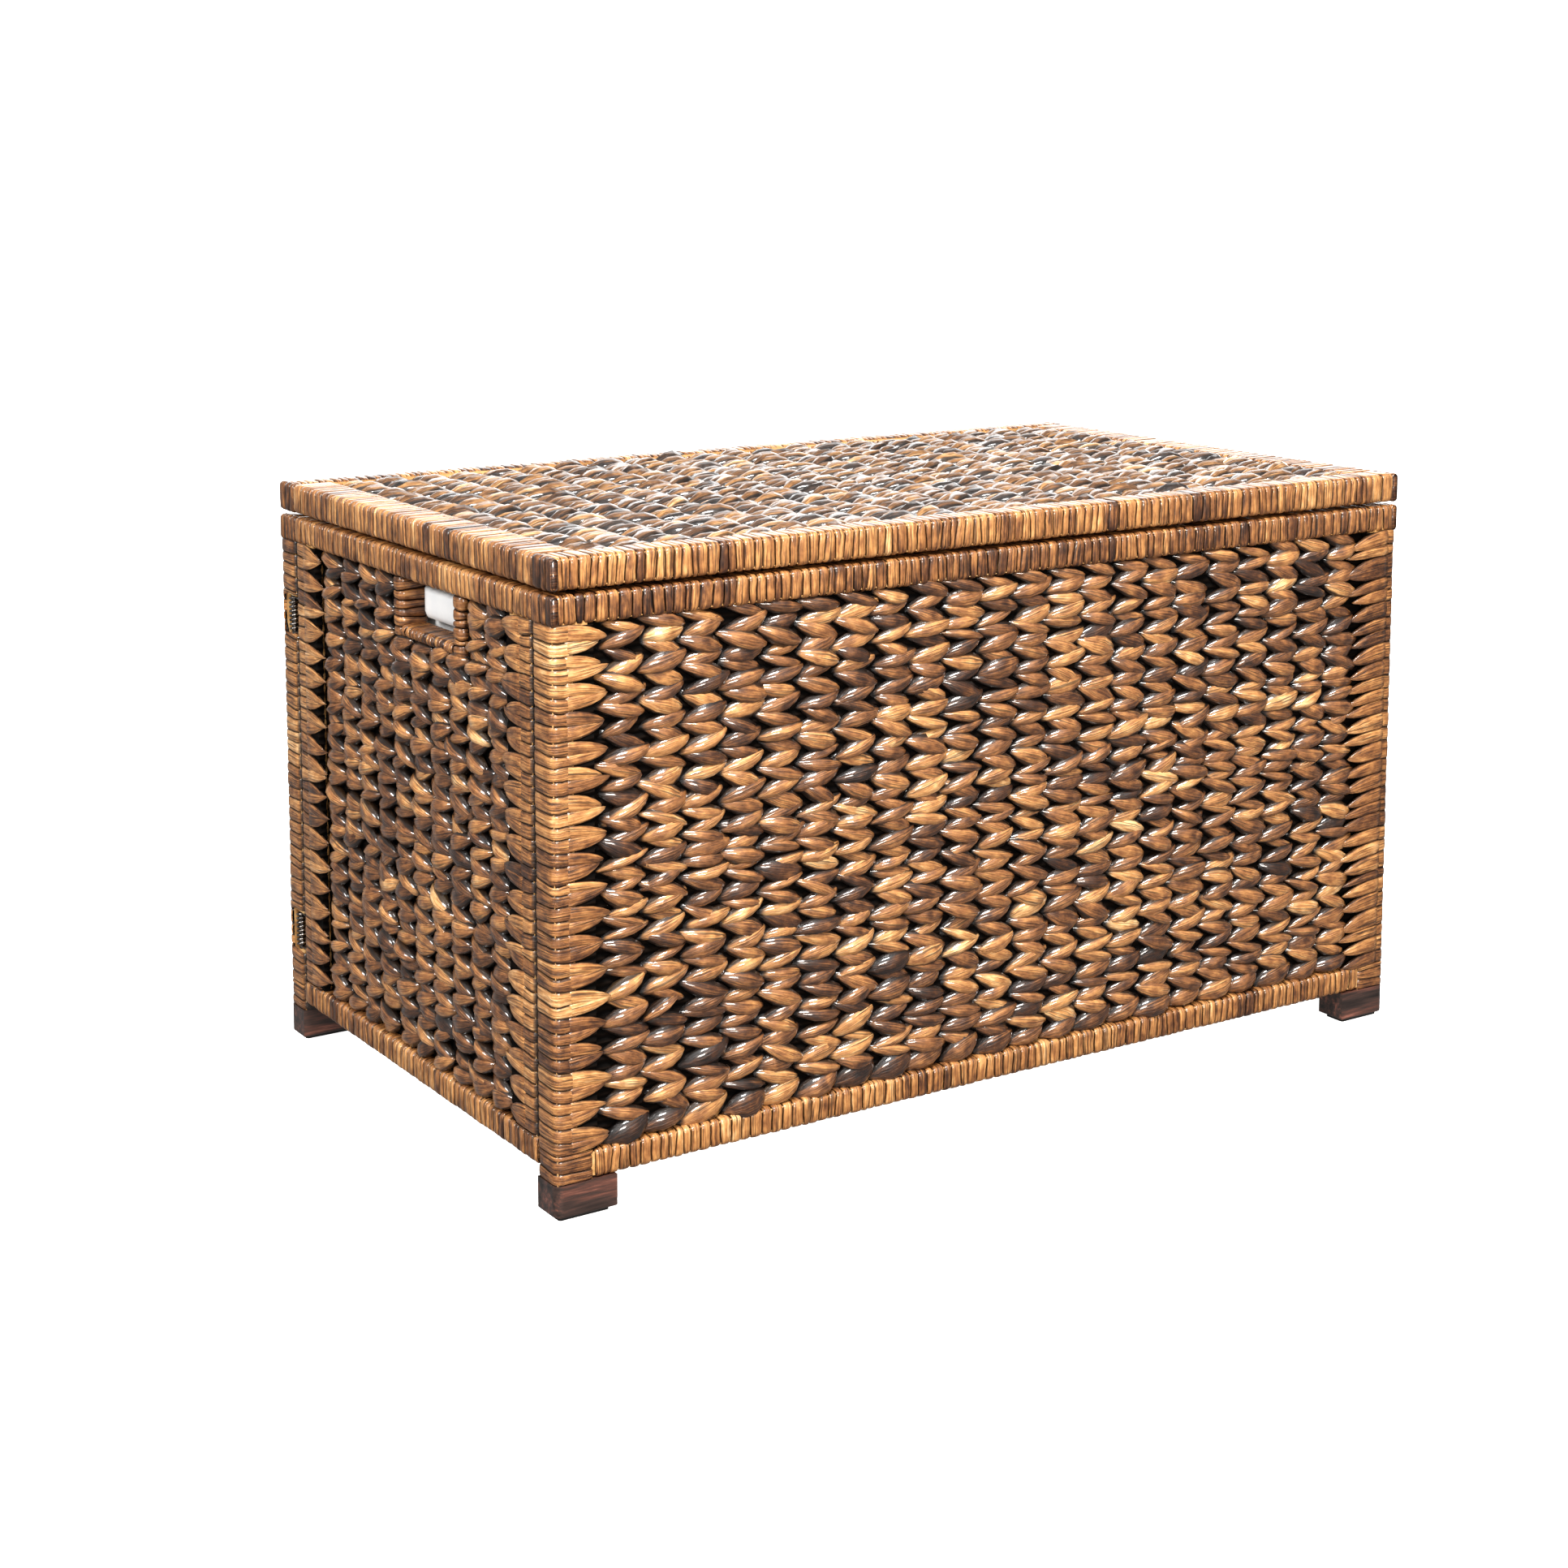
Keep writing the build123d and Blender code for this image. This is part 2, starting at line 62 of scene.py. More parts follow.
def add_node(material, kind, values=None, links=None, **settings):
    """Add one node: its settings, the values of its sockets, and where its sockets read from."""
    made = material.node_tree.nodes.new(kind)
    for name, value in settings.items():
        setattr(made, name, value)
    for socket, value in (values or {}).items():
        made.inputs[socket].default_value = value
    for socket, source in (links or {}).items():
        material.node_tree.links.new(source, made.inputs[socket])
    return made


def new_finish(name):
    """An empty material with its shader, for one finish."""
    material = bpy.data.materials.new(name)
    material.use_nodes = True
    return material, material.node_tree.nodes["Principled BSDF"]


def set_ramp(ramp, stops):
    """Colour stops of a ramp: places from 0 to 1 with hex colours."""
    elements = ramp.color_ramp.elements
    while len(elements) < len(stops):
        elements.new(0.5)
    for element, (place, colour) in zip(elements, stops):
        element.position = place
        element.color = linear_colour(colour)


def coat_cad_nodes(material, *names):
    """Give CAD nodes this finish."""
    for name in names:
        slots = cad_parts[name].material_slots
        for one in slots:
            one.material = material
        if not slots:
            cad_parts[name].data.materials.append(material)


# Mahogany stained walnut and brushed with lacquer: dark grain, red-brown where it has worn thin
# along the grain, and a soft gloss.
stained_mahogany, shader = new_finish("stained_mahogany")
place = add_node(stained_mahogany, "ShaderNodeTexCoord")
along_grain = add_node(
    stained_mahogany, "ShaderNodeMapping", {"Scale": (12.0, 160.0, 160.0)},
    {"Vector": place.outputs["Object"]},
)
grain = add_node(
    stained_mahogany, "ShaderNodeTexNoise", {"Scale": 1.0, "Detail": 5.0, "Roughness": 0.65},
    {"Vector": along_grain.outputs["Vector"]},
)
pores = add_node(
    stained_mahogany, "ShaderNodeTexNoise", {"Scale": 6.0, "Detail": 2.0},
    {"Vector": along_grain.outputs["Vector"]},
)
wood_colours = add_node(stained_mahogany, "ShaderNodeValToRGB", None, {"Fac": grain.outputs["Fac"]})
set_ramp(wood_colours, [(0.34, "#1E1613"), (0.5, "#3E2F2A"), (0.6, "#603F35"), (0.72, "#9A6858")])
wood_bump = add_node(
    stained_mahogany, "ShaderNodeBump", {"Strength": 0.35, "Distance": 0.4 * mm},
    {"Height": pores.outputs["Fac"]},
)
stained_mahogany.node_tree.links.new(wood_colours.outputs["Color"], shader.inputs["Base Color"])
stained_mahogany.node_tree.links.new(wood_bump.outputs["Normal"], shader.inputs["Normal"])
shader.inputs["Roughness"].default_value = 0.42
shader.inputs["Coat Weight"].default_value = 0.35
shader.inputs["Coat Roughness"].default_value = 0.2
coat_cad_nodes(stained_mahogany, *feet)


def grained_finish(name, noise, stops, bump, look, stretch=None):
    """A finish whose colour and fine relief both follow one noise, which is stretched along the
    grain where there is one. Look holds the shader's own values."""
    material, shader = new_finish(name)
    place = add_node(material, "ShaderNodeTexCoord").outputs["Object"]
    if stretch:
        place = add_node(material, "ShaderNodeMapping", {"Scale": stretch}, {"Vector": place}).outputs["Vector"]
    grain = add_node(material, "ShaderNodeTexNoise", noise, {"Vector": place})
    colours = add_node(material, "ShaderNodeValToRGB", None, {"Fac": grain.outputs["Fac"]})
    set_ramp(colours, stops)
    relief = add_node(material, "ShaderNodeBump", bump, {"Height": grain.outputs["Fac"]})
    material.node_tree.links.new(colours.outputs["Color"], shader.inputs["Base Color"])
    material.node_tree.links.new(relief.outputs["Normal"], shader.inputs["Normal"])
    for socket, value in look.items():
        shader.inputs[socket].default_value = value
    return material


# Polyethylene, injection moulded: matt near-black with the fine spark texture of its mould.
moulded_polyethylene = grained_finish(
    "moulded_polyethylene", {"Scale": 900.0, "Detail": 2.0}, [(0.3, "#141312"), (0.7, "#24211F")],
    {"Strength": 0.3, "Distance": 0.2 * mm}, {"Roughness": 0.55},
)
coat_cad_nodes(moulded_polyethylene, *glides)

# ---------------------------------------------------------------------------------------------
# Panel frames, ledges and floor board: planed softwood, glued and pinned, with a plywood board
# that lies loose on two ledges. Leaf hides nearly all of it.
# ---------------------------------------------------------------------------------------------
# Pine off the planer: pale bands of early wood and tan late wood, dry and almost without gloss.
planed_pine = grained_finish(
    "planed_pine", {"Scale": 1.0, "Detail": 4.0, "Roughness": 0.6},
    [(0.35, "#8A6238"), (0.5, "#B98D58"), (0.66, "#D2AC78")],
    {"Strength": 0.2, "Distance": 0.3 * mm}, {"Roughness": 0.7}, stretch=(6.0, 90.0, 90.0),
)
coat_cad_nodes(
    planed_pine, "front_frame", "back_frame", "left_frame", "right_frame", "lid_frame",
    "front_floor_ledge", "back_floor_ledge", "floor_board", "slot_dowels",
)

# Rattan core: pale straw with fine lengthwise pores, left unfinished inside the weave.
rattan_core = grained_finish(
    "rattan_core", {"Scale": 700.0, "Detail": 3.0}, [(0.35, "#7A5530"), (0.65, "#C49A62")],
    {"Strength": 0.4, "Distance": 0.2 * mm}, {"Roughness": 0.6},
)
coat_cad_nodes(rattan_core, "front_stakes", "back_stakes", "left_stakes", "right_stakes", "lid_stakes")

# ---------------------------------------------------------------------------------------------
# Wire coils, pins, hinge staples and screws: spring wire wound into close coils, with steel pins
# through them, darkened by oil. The screws are zinc plated.
# ---------------------------------------------------------------------------------------------
# Drawn spring wire: grey-brown oxide with draw marks, bright where the turns rub.
oiled_spring_steel = grained_finish(
    "oiled_spring_steel", {"Scale": 420.0, "Detail": 4.0},
    [(0.36, "#4B4440"), (0.55, "#8D8782"), (0.7, "#B9B4AE")],
    {"Strength": 0.25, "Distance": 0.1 * mm}, {"Metallic": 1.0, "Roughness": 0.32},
)
coat_cad_nodes(
    oiled_spring_steel, "front_left_corner_coils", "front_right_corner_coils", "back_left_corner_coils",
    "back_right_corner_coils", "corner_pins", "lid_hinge_coil_1", "lid_hinge_coil_2", "lid_hinge_coil_3",
    "lid_hinge_staples",
)

# Electroplated zinc: cool grey with faint crystalline clouding.
zinc_plated_steel = grained_finish(
    "zinc_plated_steel", {"Scale": 300.0, "Detail": 3.0}, [(0.35, "#8E9296"), (0.65, "#C4C8CB")],
    {"Strength": 0.2, "Distance": 0.1 * mm}, {"Metallic": 1.0, "Roughness": 0.35},
)
coat_cad_nodes(zinc_plated_steel, "foot_screws", "ledge_screws")

# ---------------------------------------------------------------------------------------------
# Woven fields: bundles of banana leaf, two at a time, twined round upright rattan stakes, row on
# row, each row slanting against the last. Stained, rubbed back and lacquered when finished.
# ---------------------------------------------------------------------------------------------
leaf_length = 40.0 * mm
leaf_height = 13.6 * mm
leaf_bulge = 12.4 * mm
leaf_slope = math.radians(15)
row_pitch = 9.2 * mm
weave_depth = 5.2 * mm
row_drift = 1.1 * mm
first_row_thick = 1.5
hollow_depth = 1.0 * mm
rise_span = 5.0 * mm
seam_turn = math.radians(54)
full_turn = 6.28
dark_share = 0.06


def leaf_finish(name, shadow, deep, middle, golden, pale, fibre_mm, coat):
    """Banana leaf, dried and twisted: fibres run its whole length, each bundle has its own tone,
    the hollows and the edges where bundles and strips meet are darkened, walnut stain there and painted shade,
    and the lacquer over it gives sharp glints."""
    material, shader = new_finish(name)
    along = add_node(material, "ShaderNodeAttribute", attribute_name="along_mm")
    across = add_node(material, "ShaderNodeAttribute", attribute_name="across_mm")
    tone = add_node(material, "ShaderNodeAttribute", attribute_name="tone")
    rise = add_node(material, "ShaderNodeAttribute", attribute_name="rise")
    groove = add_node(material, "ShaderNodeAttribute", attribute_name="groove")
    apart = add_node(
        material, "ShaderNodeMath", {1: 97.0}, {0: tone.outputs["Fac"]}, operation="MULTIPLY"
    )
    fibre_place = add_node(
        material, "ShaderNodeCombineXYZ", None,
        {"X": along.outputs["Fac"], "Y": across.outputs["Fac"], "Z": apart.outputs["Value"]},
    )
    fibre_scale = add_node(
        material, "ShaderNodeVectorMath", {1: (0.035, 1 / fibre_mm, 1.0)},
        {0: fibre_place.outputs["Vector"]}, operation="MULTIPLY",
    )
    fibres = add_node(
        material, "ShaderNodeTexNoise", {"Scale": 1.0, "Detail": 4.0, "Roughness": 0.62, "Distortion": 0.15},
        {"Vector": fibre_scale.outputs["Vector"]},
    )
    blotch_scale = add_node(
        material, "ShaderNodeVectorMath", {1: (0.1, 0.16, 1.0)},
        {0: fibre_place.outputs["Vector"]}, operation="MULTIPLY",
    )
    blotches = add_node(
        material, "ShaderNodeTexNoise", {"Scale": 1.0, "Detail": 3.0, "Roughness": 0.6},
        {"Vector": blotch_scale.outputs["Vector"]},
    )
    # Tone of the bundle, then its fibres, then its blotches
    fibre_part = add_node(
        material, "ShaderNodeMath", {1: 1.15, 2: -0.575}, {0: fibres.outputs["Fac"]}, operation="MULTIPLY_ADD"
    )
    blotch_part = add_node(
        material, "ShaderNodeMath", {1: 0.9, 2: -0.45}, {0: blotches.outputs["Fac"]}, operation="MULTIPLY_ADD"
    )
    mixed = add_node(
        material, "ShaderNodeMath", None,
        {0: fibre_part.outputs["Value"], 1: blotch_part.outputs["Value"]}, operation="ADD",
    )
    shade = add_node(
        material, "ShaderNodeMath", None,
        {0: mixed.outputs["Value"], 1: tone.outputs["Fac"]}, operation="ADD",
    )
    colours = add_node(material, "ShaderNodeValToRGB", None, {"Fac": shade.outputs["Value"]})
    set_ramp(colours, [(0.0, shadow), (0.25, deep), (0.5, middle), (0.75, golden), (1.0, pale)])
    # Splits between fibres, dark and fine
    split_scale = add_node(
        material, "ShaderNodeVectorMath", {1: (0.03, 1.1 / fibre_mm, 1.0)},
        {0: fibre_place.outputs["Vector"]}, operation="MULTIPLY",
    )
    splits = add_node(
        material, "ShaderNodeTexNoise", {"Scale": 1.0, "Detail": 2.0, "Roughness": 0.5},
        {"Vector": split_scale.outputs["Vector"]},
    )
    split_dark = add_node(
        material, "ShaderNodeMapRange", {"From Min": 0.55, "From Max": 0.63, "To Min": 0.0, "To Max": 0.72},
        {"Value": splits.outputs["Fac"]}, clamp=True,
    )
    # Stain and painted shade: darker where a point lies deep in the weave (rise) and near the edges of a bundle
    # or strip (groove)
    hollow_shade = add_node(
        material, "ShaderNodeMapRange", {"From Min": 0.12, "From Max": 0.62, "To Min": 1.0, "To Max": 0.0},
        {"Value": rise.outputs["Fac"]}, clamp=True, interpolation_type="SMOOTHSTEP",
    )
    seam_shade = add_node(
        material, "ShaderNodeMapRange", {"From Min": 0.66, "From Max": 1.02, "To Min": 0.0, "To Max": 0.93},
        {"Value": groove.outputs["Fac"]}, clamp=True, interpolation_type="SMOOTHSTEP",
    )
    deepest = add_node(
        material, "ShaderNodeMath", None,
        {0: hollow_shade.outputs["Result"], 1: seam_shade.outputs["Result"]}, operation="MAXIMUM",
    )
    darkest = add_node(
        material, "ShaderNodeMath", None,
        {0: deepest.outputs["Value"], 1: split_dark.outputs["Result"]}, operation="MAXIMUM",
    )
    stain_and_shade = add_node(
        material, "ShaderNodeMix", {7: linear_colour("#0B0604")},
        {"Factor": darkest.outputs["Value"]}, data_type="RGBA",
    )
    material.node_tree.links.new(colours.outputs["Color"], stain_and_shade.inputs[6])
    bump = add_node(
        material, "ShaderNodeBump", {"Strength": 1.0, "Distance": 0.0009}, {"Height": fibres.outputs["Fac"]}
    )
    material.node_tree.links.new(stain_and_shade.outputs[2], shader.inputs["Base Color"])
    material.node_tree.links.new(bump.outputs["Normal"], shader.inputs["Normal"])
    shader.inputs["Roughness"].default_value = 0.45
    shader.inputs["Coat Weight"].default_value = coat
    shader.inputs["Coat Roughness"].default_value = 0.12
    return material


twined_banana_leaf = leaf_finish(
    "twined_banana_leaf", "#1A0D07", "#4A2C18", "#8A5C36", "#BE8A54", "#E4BC88", 1.3, 1.0
)
# The lid's leaf is the same leaf in darker colours, with finer fibres and a thinner coat: the darker colours
# are painted shade on the lid's two faces
lid_banana_leaf_shaded = leaf_finish(
    "lid_banana_leaf_shaded", "#100804", "#2E1B0D", "#684424", "#A27646", "#DDB888", 0.9, 0.8
)


def model_twined_leaf():
    """One bundle seen from outside: its left end is thin and runs in behind its neighbour, and its
    right end is full and lies on top. Returns its points, its faces and its surface values."""
    bpy.ops.object.select_all(action="DESELECT")
    bpy.ops.mesh.primitive_uv_sphere_add(
        segments=10, ring_count=7, radius=0.5, rotation=(0, math.pi / 2, 0)
    )
    bpy.ops.object.transform_apply(rotation=True)
    leaf = bpy.context.object
    leaf.scale = (leaf_length, leaf_bulge, leaf_height)
    bpy.ops.object.transform_apply(scale=True)
    places = np.array([v.co for v in leaf.data.vertices])
    ends = np.array([-1.0, -0.9, -0.62, -0.22, 0.22, 0.62, 0.9, 1.0])
    fullness = np.array([0.3, 0.6, 0.82, 1.02, 1.06, 0.93, 0.76, 0.55])
    reach = np.array([3.0, 2.4, 1.2, 0.1, -0.5, -0.2, 0.9, 1.6]) * mm
    part = places[:, 0] / (leaf_length / 2)
    places[:, 1:] *= np.interp(part, ends, fullness)[:, None]
    turn = np.arctan2(places[:, 2], -places[:, 1])
    places[:, 1] += np.interp(part, ends, reach)
    faces = [tuple(face.vertices) for face in leaf.data.polygons]
    along = places[:, 0] / mm
    across = turn * (leaf_height + leaf_bulge) / 4 / mm
    # Groove grows towards the edges of the bundle's outer face; the finish darkens there as painted shade, with
    # stain, where bundles meet
    groove = np.abs(turn) / seam_turn
    groove[np.abs(part) > 0.99] = 0.6
    bpy.data.objects.remove(leaf)
    return places, faces, along, across, groove


leaf_points, leaf_faces, leaf_along, leaf_across, leaf_groove = model_twined_leaf()


def make_piece(name, points, faces, values, material, body, slot, *nodes):
    """A mesh with its surface values, its finish, the body that it rides on and what it replaces."""
    mesh = bpy.data.meshes.new(name)
    mesh.from_pydata(points.tolist(), [], faces)
    for label, column in values.items():
        mesh.attributes.new(label, "FLOAT", "POINT").data.foreach_set("value", np.asarray(column, np.float32))
    mesh.polygons.foreach_set("use_smooth", [True] * len(mesh.polygons))
    mesh.materials.append(material)
    mesh.validate()
    made = bpy.data.objects.new(name, mesh)
    bpy.context.scene.collection.objects.link(made)
    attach(made, body)
    if nodes:
        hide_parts(*nodes)
    return made


def lay_leaves(leaves, out, right, up, origin, level):
    """Copies of the leaf bundle, one for each place that weave_rows gives. Level is the plane of
    the wall, and rise is measured from it."""
    count, size = len(leaves), len(leaf_points)
    data = np.array(leaves)
    placed_right, placed_up, slope = (data[:, column, None] for column in range(3))
    placed_out, tone, bow, first_fold, second_fold = (data[:, column, None] for column in range(6, 11))
    shape = leaf_points[None] * data[:, None, 3:6]
    # Each bundle has its own lengthwise folds
    turn = np.arctan2(leaf_points[:, 2], -leaf_points[:, 1])[None]
    folds = 1 + 0.08 * np.cos(3 * turn + first_fold) + 0.07 * np.cos(5 * turn + second_fold)
    shape[:, :, 2] *= folds
    shape[:, :, 1] = np.where(shape[:, :, 1] < 0, shape[:, :, 1] * folds, shape[:, :, 1])
    # A bundle is limp: its middle bows a little up or down
    x, y = shape[:, :, 0], shape[:, :, 1]
    z = shape[:, :, 2] + bow * (1 - (leaf_points[:, 0] / (leaf_length / 2))[None] ** 2)
    cosine, sine = np.cos(slope), np.sin(slope)
    rightward = x * cosine - z * sine + placed_right
    upward = x * sine + z * cosine + placed_up
    outward = -y + placed_out
    places = (
        np.array(origin)[None, None]
        + rightward[:, :, None] * np.array(right)[None, None]
        + upward[:, :, None] * np.array(up)[None, None]
        + (outward + level)[:, :, None] * np.array(out)[None, None]
    )
    # Rise is low where a bundle lies deep in the weave; the finish darkens there as painted shade, with stain
    rise = np.clip((outward + hollow_depth) / rise_span, 0, 1)
    faces = []
    for i in range(count):
        faces += [tuple(v + i * size for v in face) for face in leaf_faces]
    values = {
        "along_mm": np.tile(leaf_along, count),
        "across_mm": np.tile(leaf_across, count),
        "groove": np.tile(leaf_groove, count),
        "tone": np.repeat(tone, size),
        "rise": rise.ravel(),
    }
    return places.reshape(-1, 3), faces, values


def weave_rows(width, height, columns, seed, gap=None, first_row_bigger=False):
    """Where each bundle of one woven field goes, from its lower left corner: its place to the right
    and up, slope, three sizes, how far out it lies, tone, bow and two fold angles."""
    chance = np.random.default_rng(seed)
    pitch = width / columns
    rows = int(round(height / row_pitch))
    wander = chance.uniform(0, full_turn, 6)
    # Rows are beaten down by hand, so some are thicker than others
    thick = np.clip(chance.normal(1.0, 0.12, rows), 0.75, 1.3)
    if first_row_bigger:
        thick[0] = first_row_thick
    levels = np.concatenate([[0], np.cumsum(thick)]) * height / thick.sum()
    leaves = []
    for row in range(rows):
        slant = leaf_slope if row % 2 == 0 else -leaf_slope
        row_slant = slant * chance.uniform(0.85, 1.15)
        row_tone = chance.normal(0.0, 0.03)
        z = (levels[row] + levels[row + 1]) / 2
        for column in range(columns):
            x = (column + 0.5) * pitch
            if gap and gap(x, z, pitch):
                continue
            drift = row_drift * (
                math.sin(x / 0.11 + z / 0.07 + wander[0]) + 0.7 * math.sin(x / 0.047 - z / 0.12 + wander[1])
            )
            drift *= min(1.0, z / 0.03, (height - z) / 0.03)
            tone = 0.5 + row_tone + chance.normal(0, 0.13)
            if chance.random() < dark_share:
                tone -= 0.22
            leaves.append((
                x + chance.normal(0, 1.3 * mm),
                z + drift + chance.normal(0, 0.6 * mm),
                row_slant + chance.normal(0, math.radians(4.2)),
                np.clip(chance.normal(1.0, 0.06), 0.86, 1.12),
                np.clip(chance.normal(1.0, 0.12), 0.7, 1.25),
                np.clip(chance.normal(1.0, 0.13), 0.7, 1.35) * (0.35 + 0.65 * thick[row]),
                chance.normal(0.0, 0.8 * mm),
                np.clip(tone, 0.1, 0.92),
                chance.normal(0, 0.8 * mm),
                chance.uniform(0, full_turn),
                chance.uniform(0, full_turn),
            ))
    return leaves


def outward_faces(made):
    """Turn every closed shell's faces outwards."""
    bpy.ops.object.select_all(action="DESELECT")
    made.select_set(True)
    bpy.context.view_layer.objects.active = made
    bpy.ops.object.mode_set(mode="EDIT")
    bpy.ops.mesh.select_all(action="SELECT")
    bpy.ops.mesh.normals_make_consistent(inside=False)
    bpy.ops.object.mode_set(mode="OBJECT")


# Packed leaf inside the weave, ribbed by the rows, and coloured almost black: painted shade in the gaps between
# the bundles on show
packed_leaf, shader = new_finish("packed_leaf")
place = add_node(packed_leaf, "ShaderNodeTexCoord")
ribs = add_node(
    packed_leaf, "ShaderNodeTexWave", {"Scale": 54.0, "Distortion": 2.0, "Detail": 2.0},
    {"Vector": place.outputs["Object"]}, bands_direction="Z",
)
rib_colours = add_node(packed_leaf, "ShaderNodeValToRGB", None, {"Fac": ribs.outputs["Fac"]})
set_ramp(rib_colours, [(0.2, "#040201"), (0.9, "#120A05")])
rib_bump = add_node(
    packed_leaf, "ShaderNodeBump", {"Strength": 0.8, "Distance": 0.002}, {"Height": ribs.outputs["Fac"]}
)
packed_leaf.node_tree.links.new(rib_colours.outputs["Color"], shader.inputs["Base Color"])
packed_leaf.node_tree.links.new(rib_bump.outputs["Normal"], shader.inputs["Normal"])
shader.inputs["Roughness"].default_value = 0.9
shader.inputs["Specular IOR Level"].default_value = 0.15

rib_depth = 0.8 * mm
packed_depth = 6.5 * mm


def behind(low, high, out):
    """The part of a wall's box that lies behind the bundles on show."""
    low, high = low.copy(), high.copy()
    for axis in range(3):
        if out[axis] < 0:
            low[axis] += packed_depth
        elif out[axis] > 0:
            high[axis] -= packed_depth
    return low, high


def backing(name, low, high, holes, body, slot):
    """The inner layer of the weave, which closes the field behind the bundles on show: a slab of
    packed leaf, ribbed by the rows, in a near-black finish that is painted shade. Holes are boxes left open."""
    low, high = Vector(low), Vector(high)
    thin = min(range(3), key=lambda axis: high[axis] - low[axis])
    run = 1 if thin == 2 else 2
    wide = 3 - thin - run
    station_count = max(2, round((high[run] - low[run]) / (row_pitch / 4)))
    stations = np.linspace(low[run], high[run], station_count)
    points, faces = [], []
    for station in stations:
        sunk = rib_depth * (0.5 + 0.5 * math.cos(2 * math.pi * (station - low[run]) / row_pitch))
        for thin_place, wide_place in (
            (low[thin] + sunk, low[wide]), (high[thin] - sunk, low[wide]),
            (high[thin] - sunk, high[wide]), (low[thin] + sunk, high[wide]),
        ):
            spot = [0.0, 0.0, 0.0]
            spot[run], spot[thin], spot[wide] = station, thin_place, wide_place
            points.append(spot)
    for ring in range(len(stations) - 1):
        for corner in range(4):
            after = (corner + 1) % 4
            below, above = ring * 4, ring * 4 + 4
            faces.append((below + corner, below + after, above + after, above + corner))
    faces.append((0, 1, 2, 3))
    faces.append(tuple(len(points) - 1 - corner for corner in range(4)))
    mesh = bpy.data.meshes.new(name)
    mesh.from_pydata(points, [], faces)
    slab = bpy.data.objects.new(name, mesh)
    bpy.context.scene.collection.objects.link(slab)
    outward_faces(slab)
    for hole_low, hole_high in holes:
        hole_low, hole_high = Vector(hole_low), Vector(hole_high)
        bpy.ops.object.select_all(action="DESELECT")
        bpy.ops.mesh.primitive_cube_add(size=1.0, location=(hole_low + hole_high) / 2)
        cutter = bpy.context.object
        cutter.dimensions = hole_high - hole_low
        bpy.ops.object.transform_apply(location=True, rotation=True, scale=True)
        bpy.ops.object.select_all(action="DESELECT")
        slab.select_set(True)
        bpy.context.view_layer.objects.active = slab
        cut = slab.modifiers.new("hole", "BOOLEAN")
        cut.object = cutter
        cut.operation = "DIFFERENCE"
        bpy.ops.object.modifier_apply(modifier="hole")
        bpy.data.objects.remove(cutter)
    slab.data.materials.clear()
    slab.data.materials.append(packed_leaf)
    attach(slab, body)
    return slab


X, Y, Z = Vector((1, 0, 0)), Vector((0, 1, 0)), Vector((0, 0, 1))
post_reach = 10.0 * mm

for wall, out, columns, seed in (("front", -Y, 22, 11), ("back", Y, 22, 12)):
    low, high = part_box(wall + "_weave")
    right = Z.cross(out)
    width = high.x - low.x - post_reach * 2
    start = Vector((-right.x * width / 2, 0, low.z))
    level = high.y if out.y > 0 else -low.y
    leaves = weave_rows(width, high.z - low.z, columns, seed, first_row_bigger=True)
    points, faces, values = lay_leaves(leaves, out, right, Z, start, level)
    points[:, 1] -= out.y * weave_depth
    make_piece(wall + "_woven_field", points, faces, values, twined_banana_leaf, "trunk", "twined_leaf",
               wall + "_weave")
    backing(wall + "_packed_leaf", *behind(low, high, out), [], "trunk", "twined_leaf")

slot_box = {}
slot_side = 0.35
slot_under = 2 * mm
slot_rim = 4 * mm
hole_past = 50 * mm
for wall, out, columns, seed in (("left", -X, 10, 13), ("right", X, 10, 14)):
    low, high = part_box(wall + "_weave")
    trim_low, trim_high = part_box(wall + "_slot_trim")
    slot_box[wall] = (trim_low, trim_high)
    right = Z.cross(out)
    width = high.y - low.y - post_reach * 2
    start = Vector((0, (low.y + high.y) / 2 - right.y * width / 2, low.z))
    level = high.x if out.x > 0 else -low.x

    def in_slot(x, z, pitch):
        """Whether a bundle at this place would close the hand slot."""
        y = start.y + right.y * x
        beside = slot_side * pitch
        return trim_low.y - beside < y < trim_high.y + beside and z + low.z > trim_low.z - slot_under

    leaves = weave_rows(width, high.z - low.z, columns, seed, in_slot)
    points, faces, values = lay_leaves(leaves, out, right, Z, start, level)
    points[:, 0] -= out.x * weave_depth
    make_piece(wall + "_woven_field", points, faces, values, twined_banana_leaf, "trunk", "twined_leaf",
               wall + "_weave")
    hole = ((trim_low.x - hole_past, trim_low.y + slot_rim, trim_low.z + slot_rim),
            (trim_high.x + hole_past, trim_high.y - slot_rim, trim_high.z + hole_past))
    backing(wall + "_packed_leaf", *behind(low, high, out), [hole], "trunk", "twined_leaf")

# ---------------------------------------------------------------------------------------------
# Wrapped rails and posts: each timber is bound round and round with flattened strips of the same
# leaf, butted edge to edge, glued at the ends, then stained and lacquered with the weave.
# ---------------------------------------------------------------------------------------------
wrapped_banana_leaf = leaf_finish(
    "wrapped_banana_leaf", "#221209", "#55331C", "#926238", "#BE8A54", "#E0B482", 1.3, 0.6
)
strip_lift = 1.3 * mm
narrow_strip = 4 * mm
end_fade = 8 * mm
closing_inset = 0.8 * mm
quarter_turn = 1.57


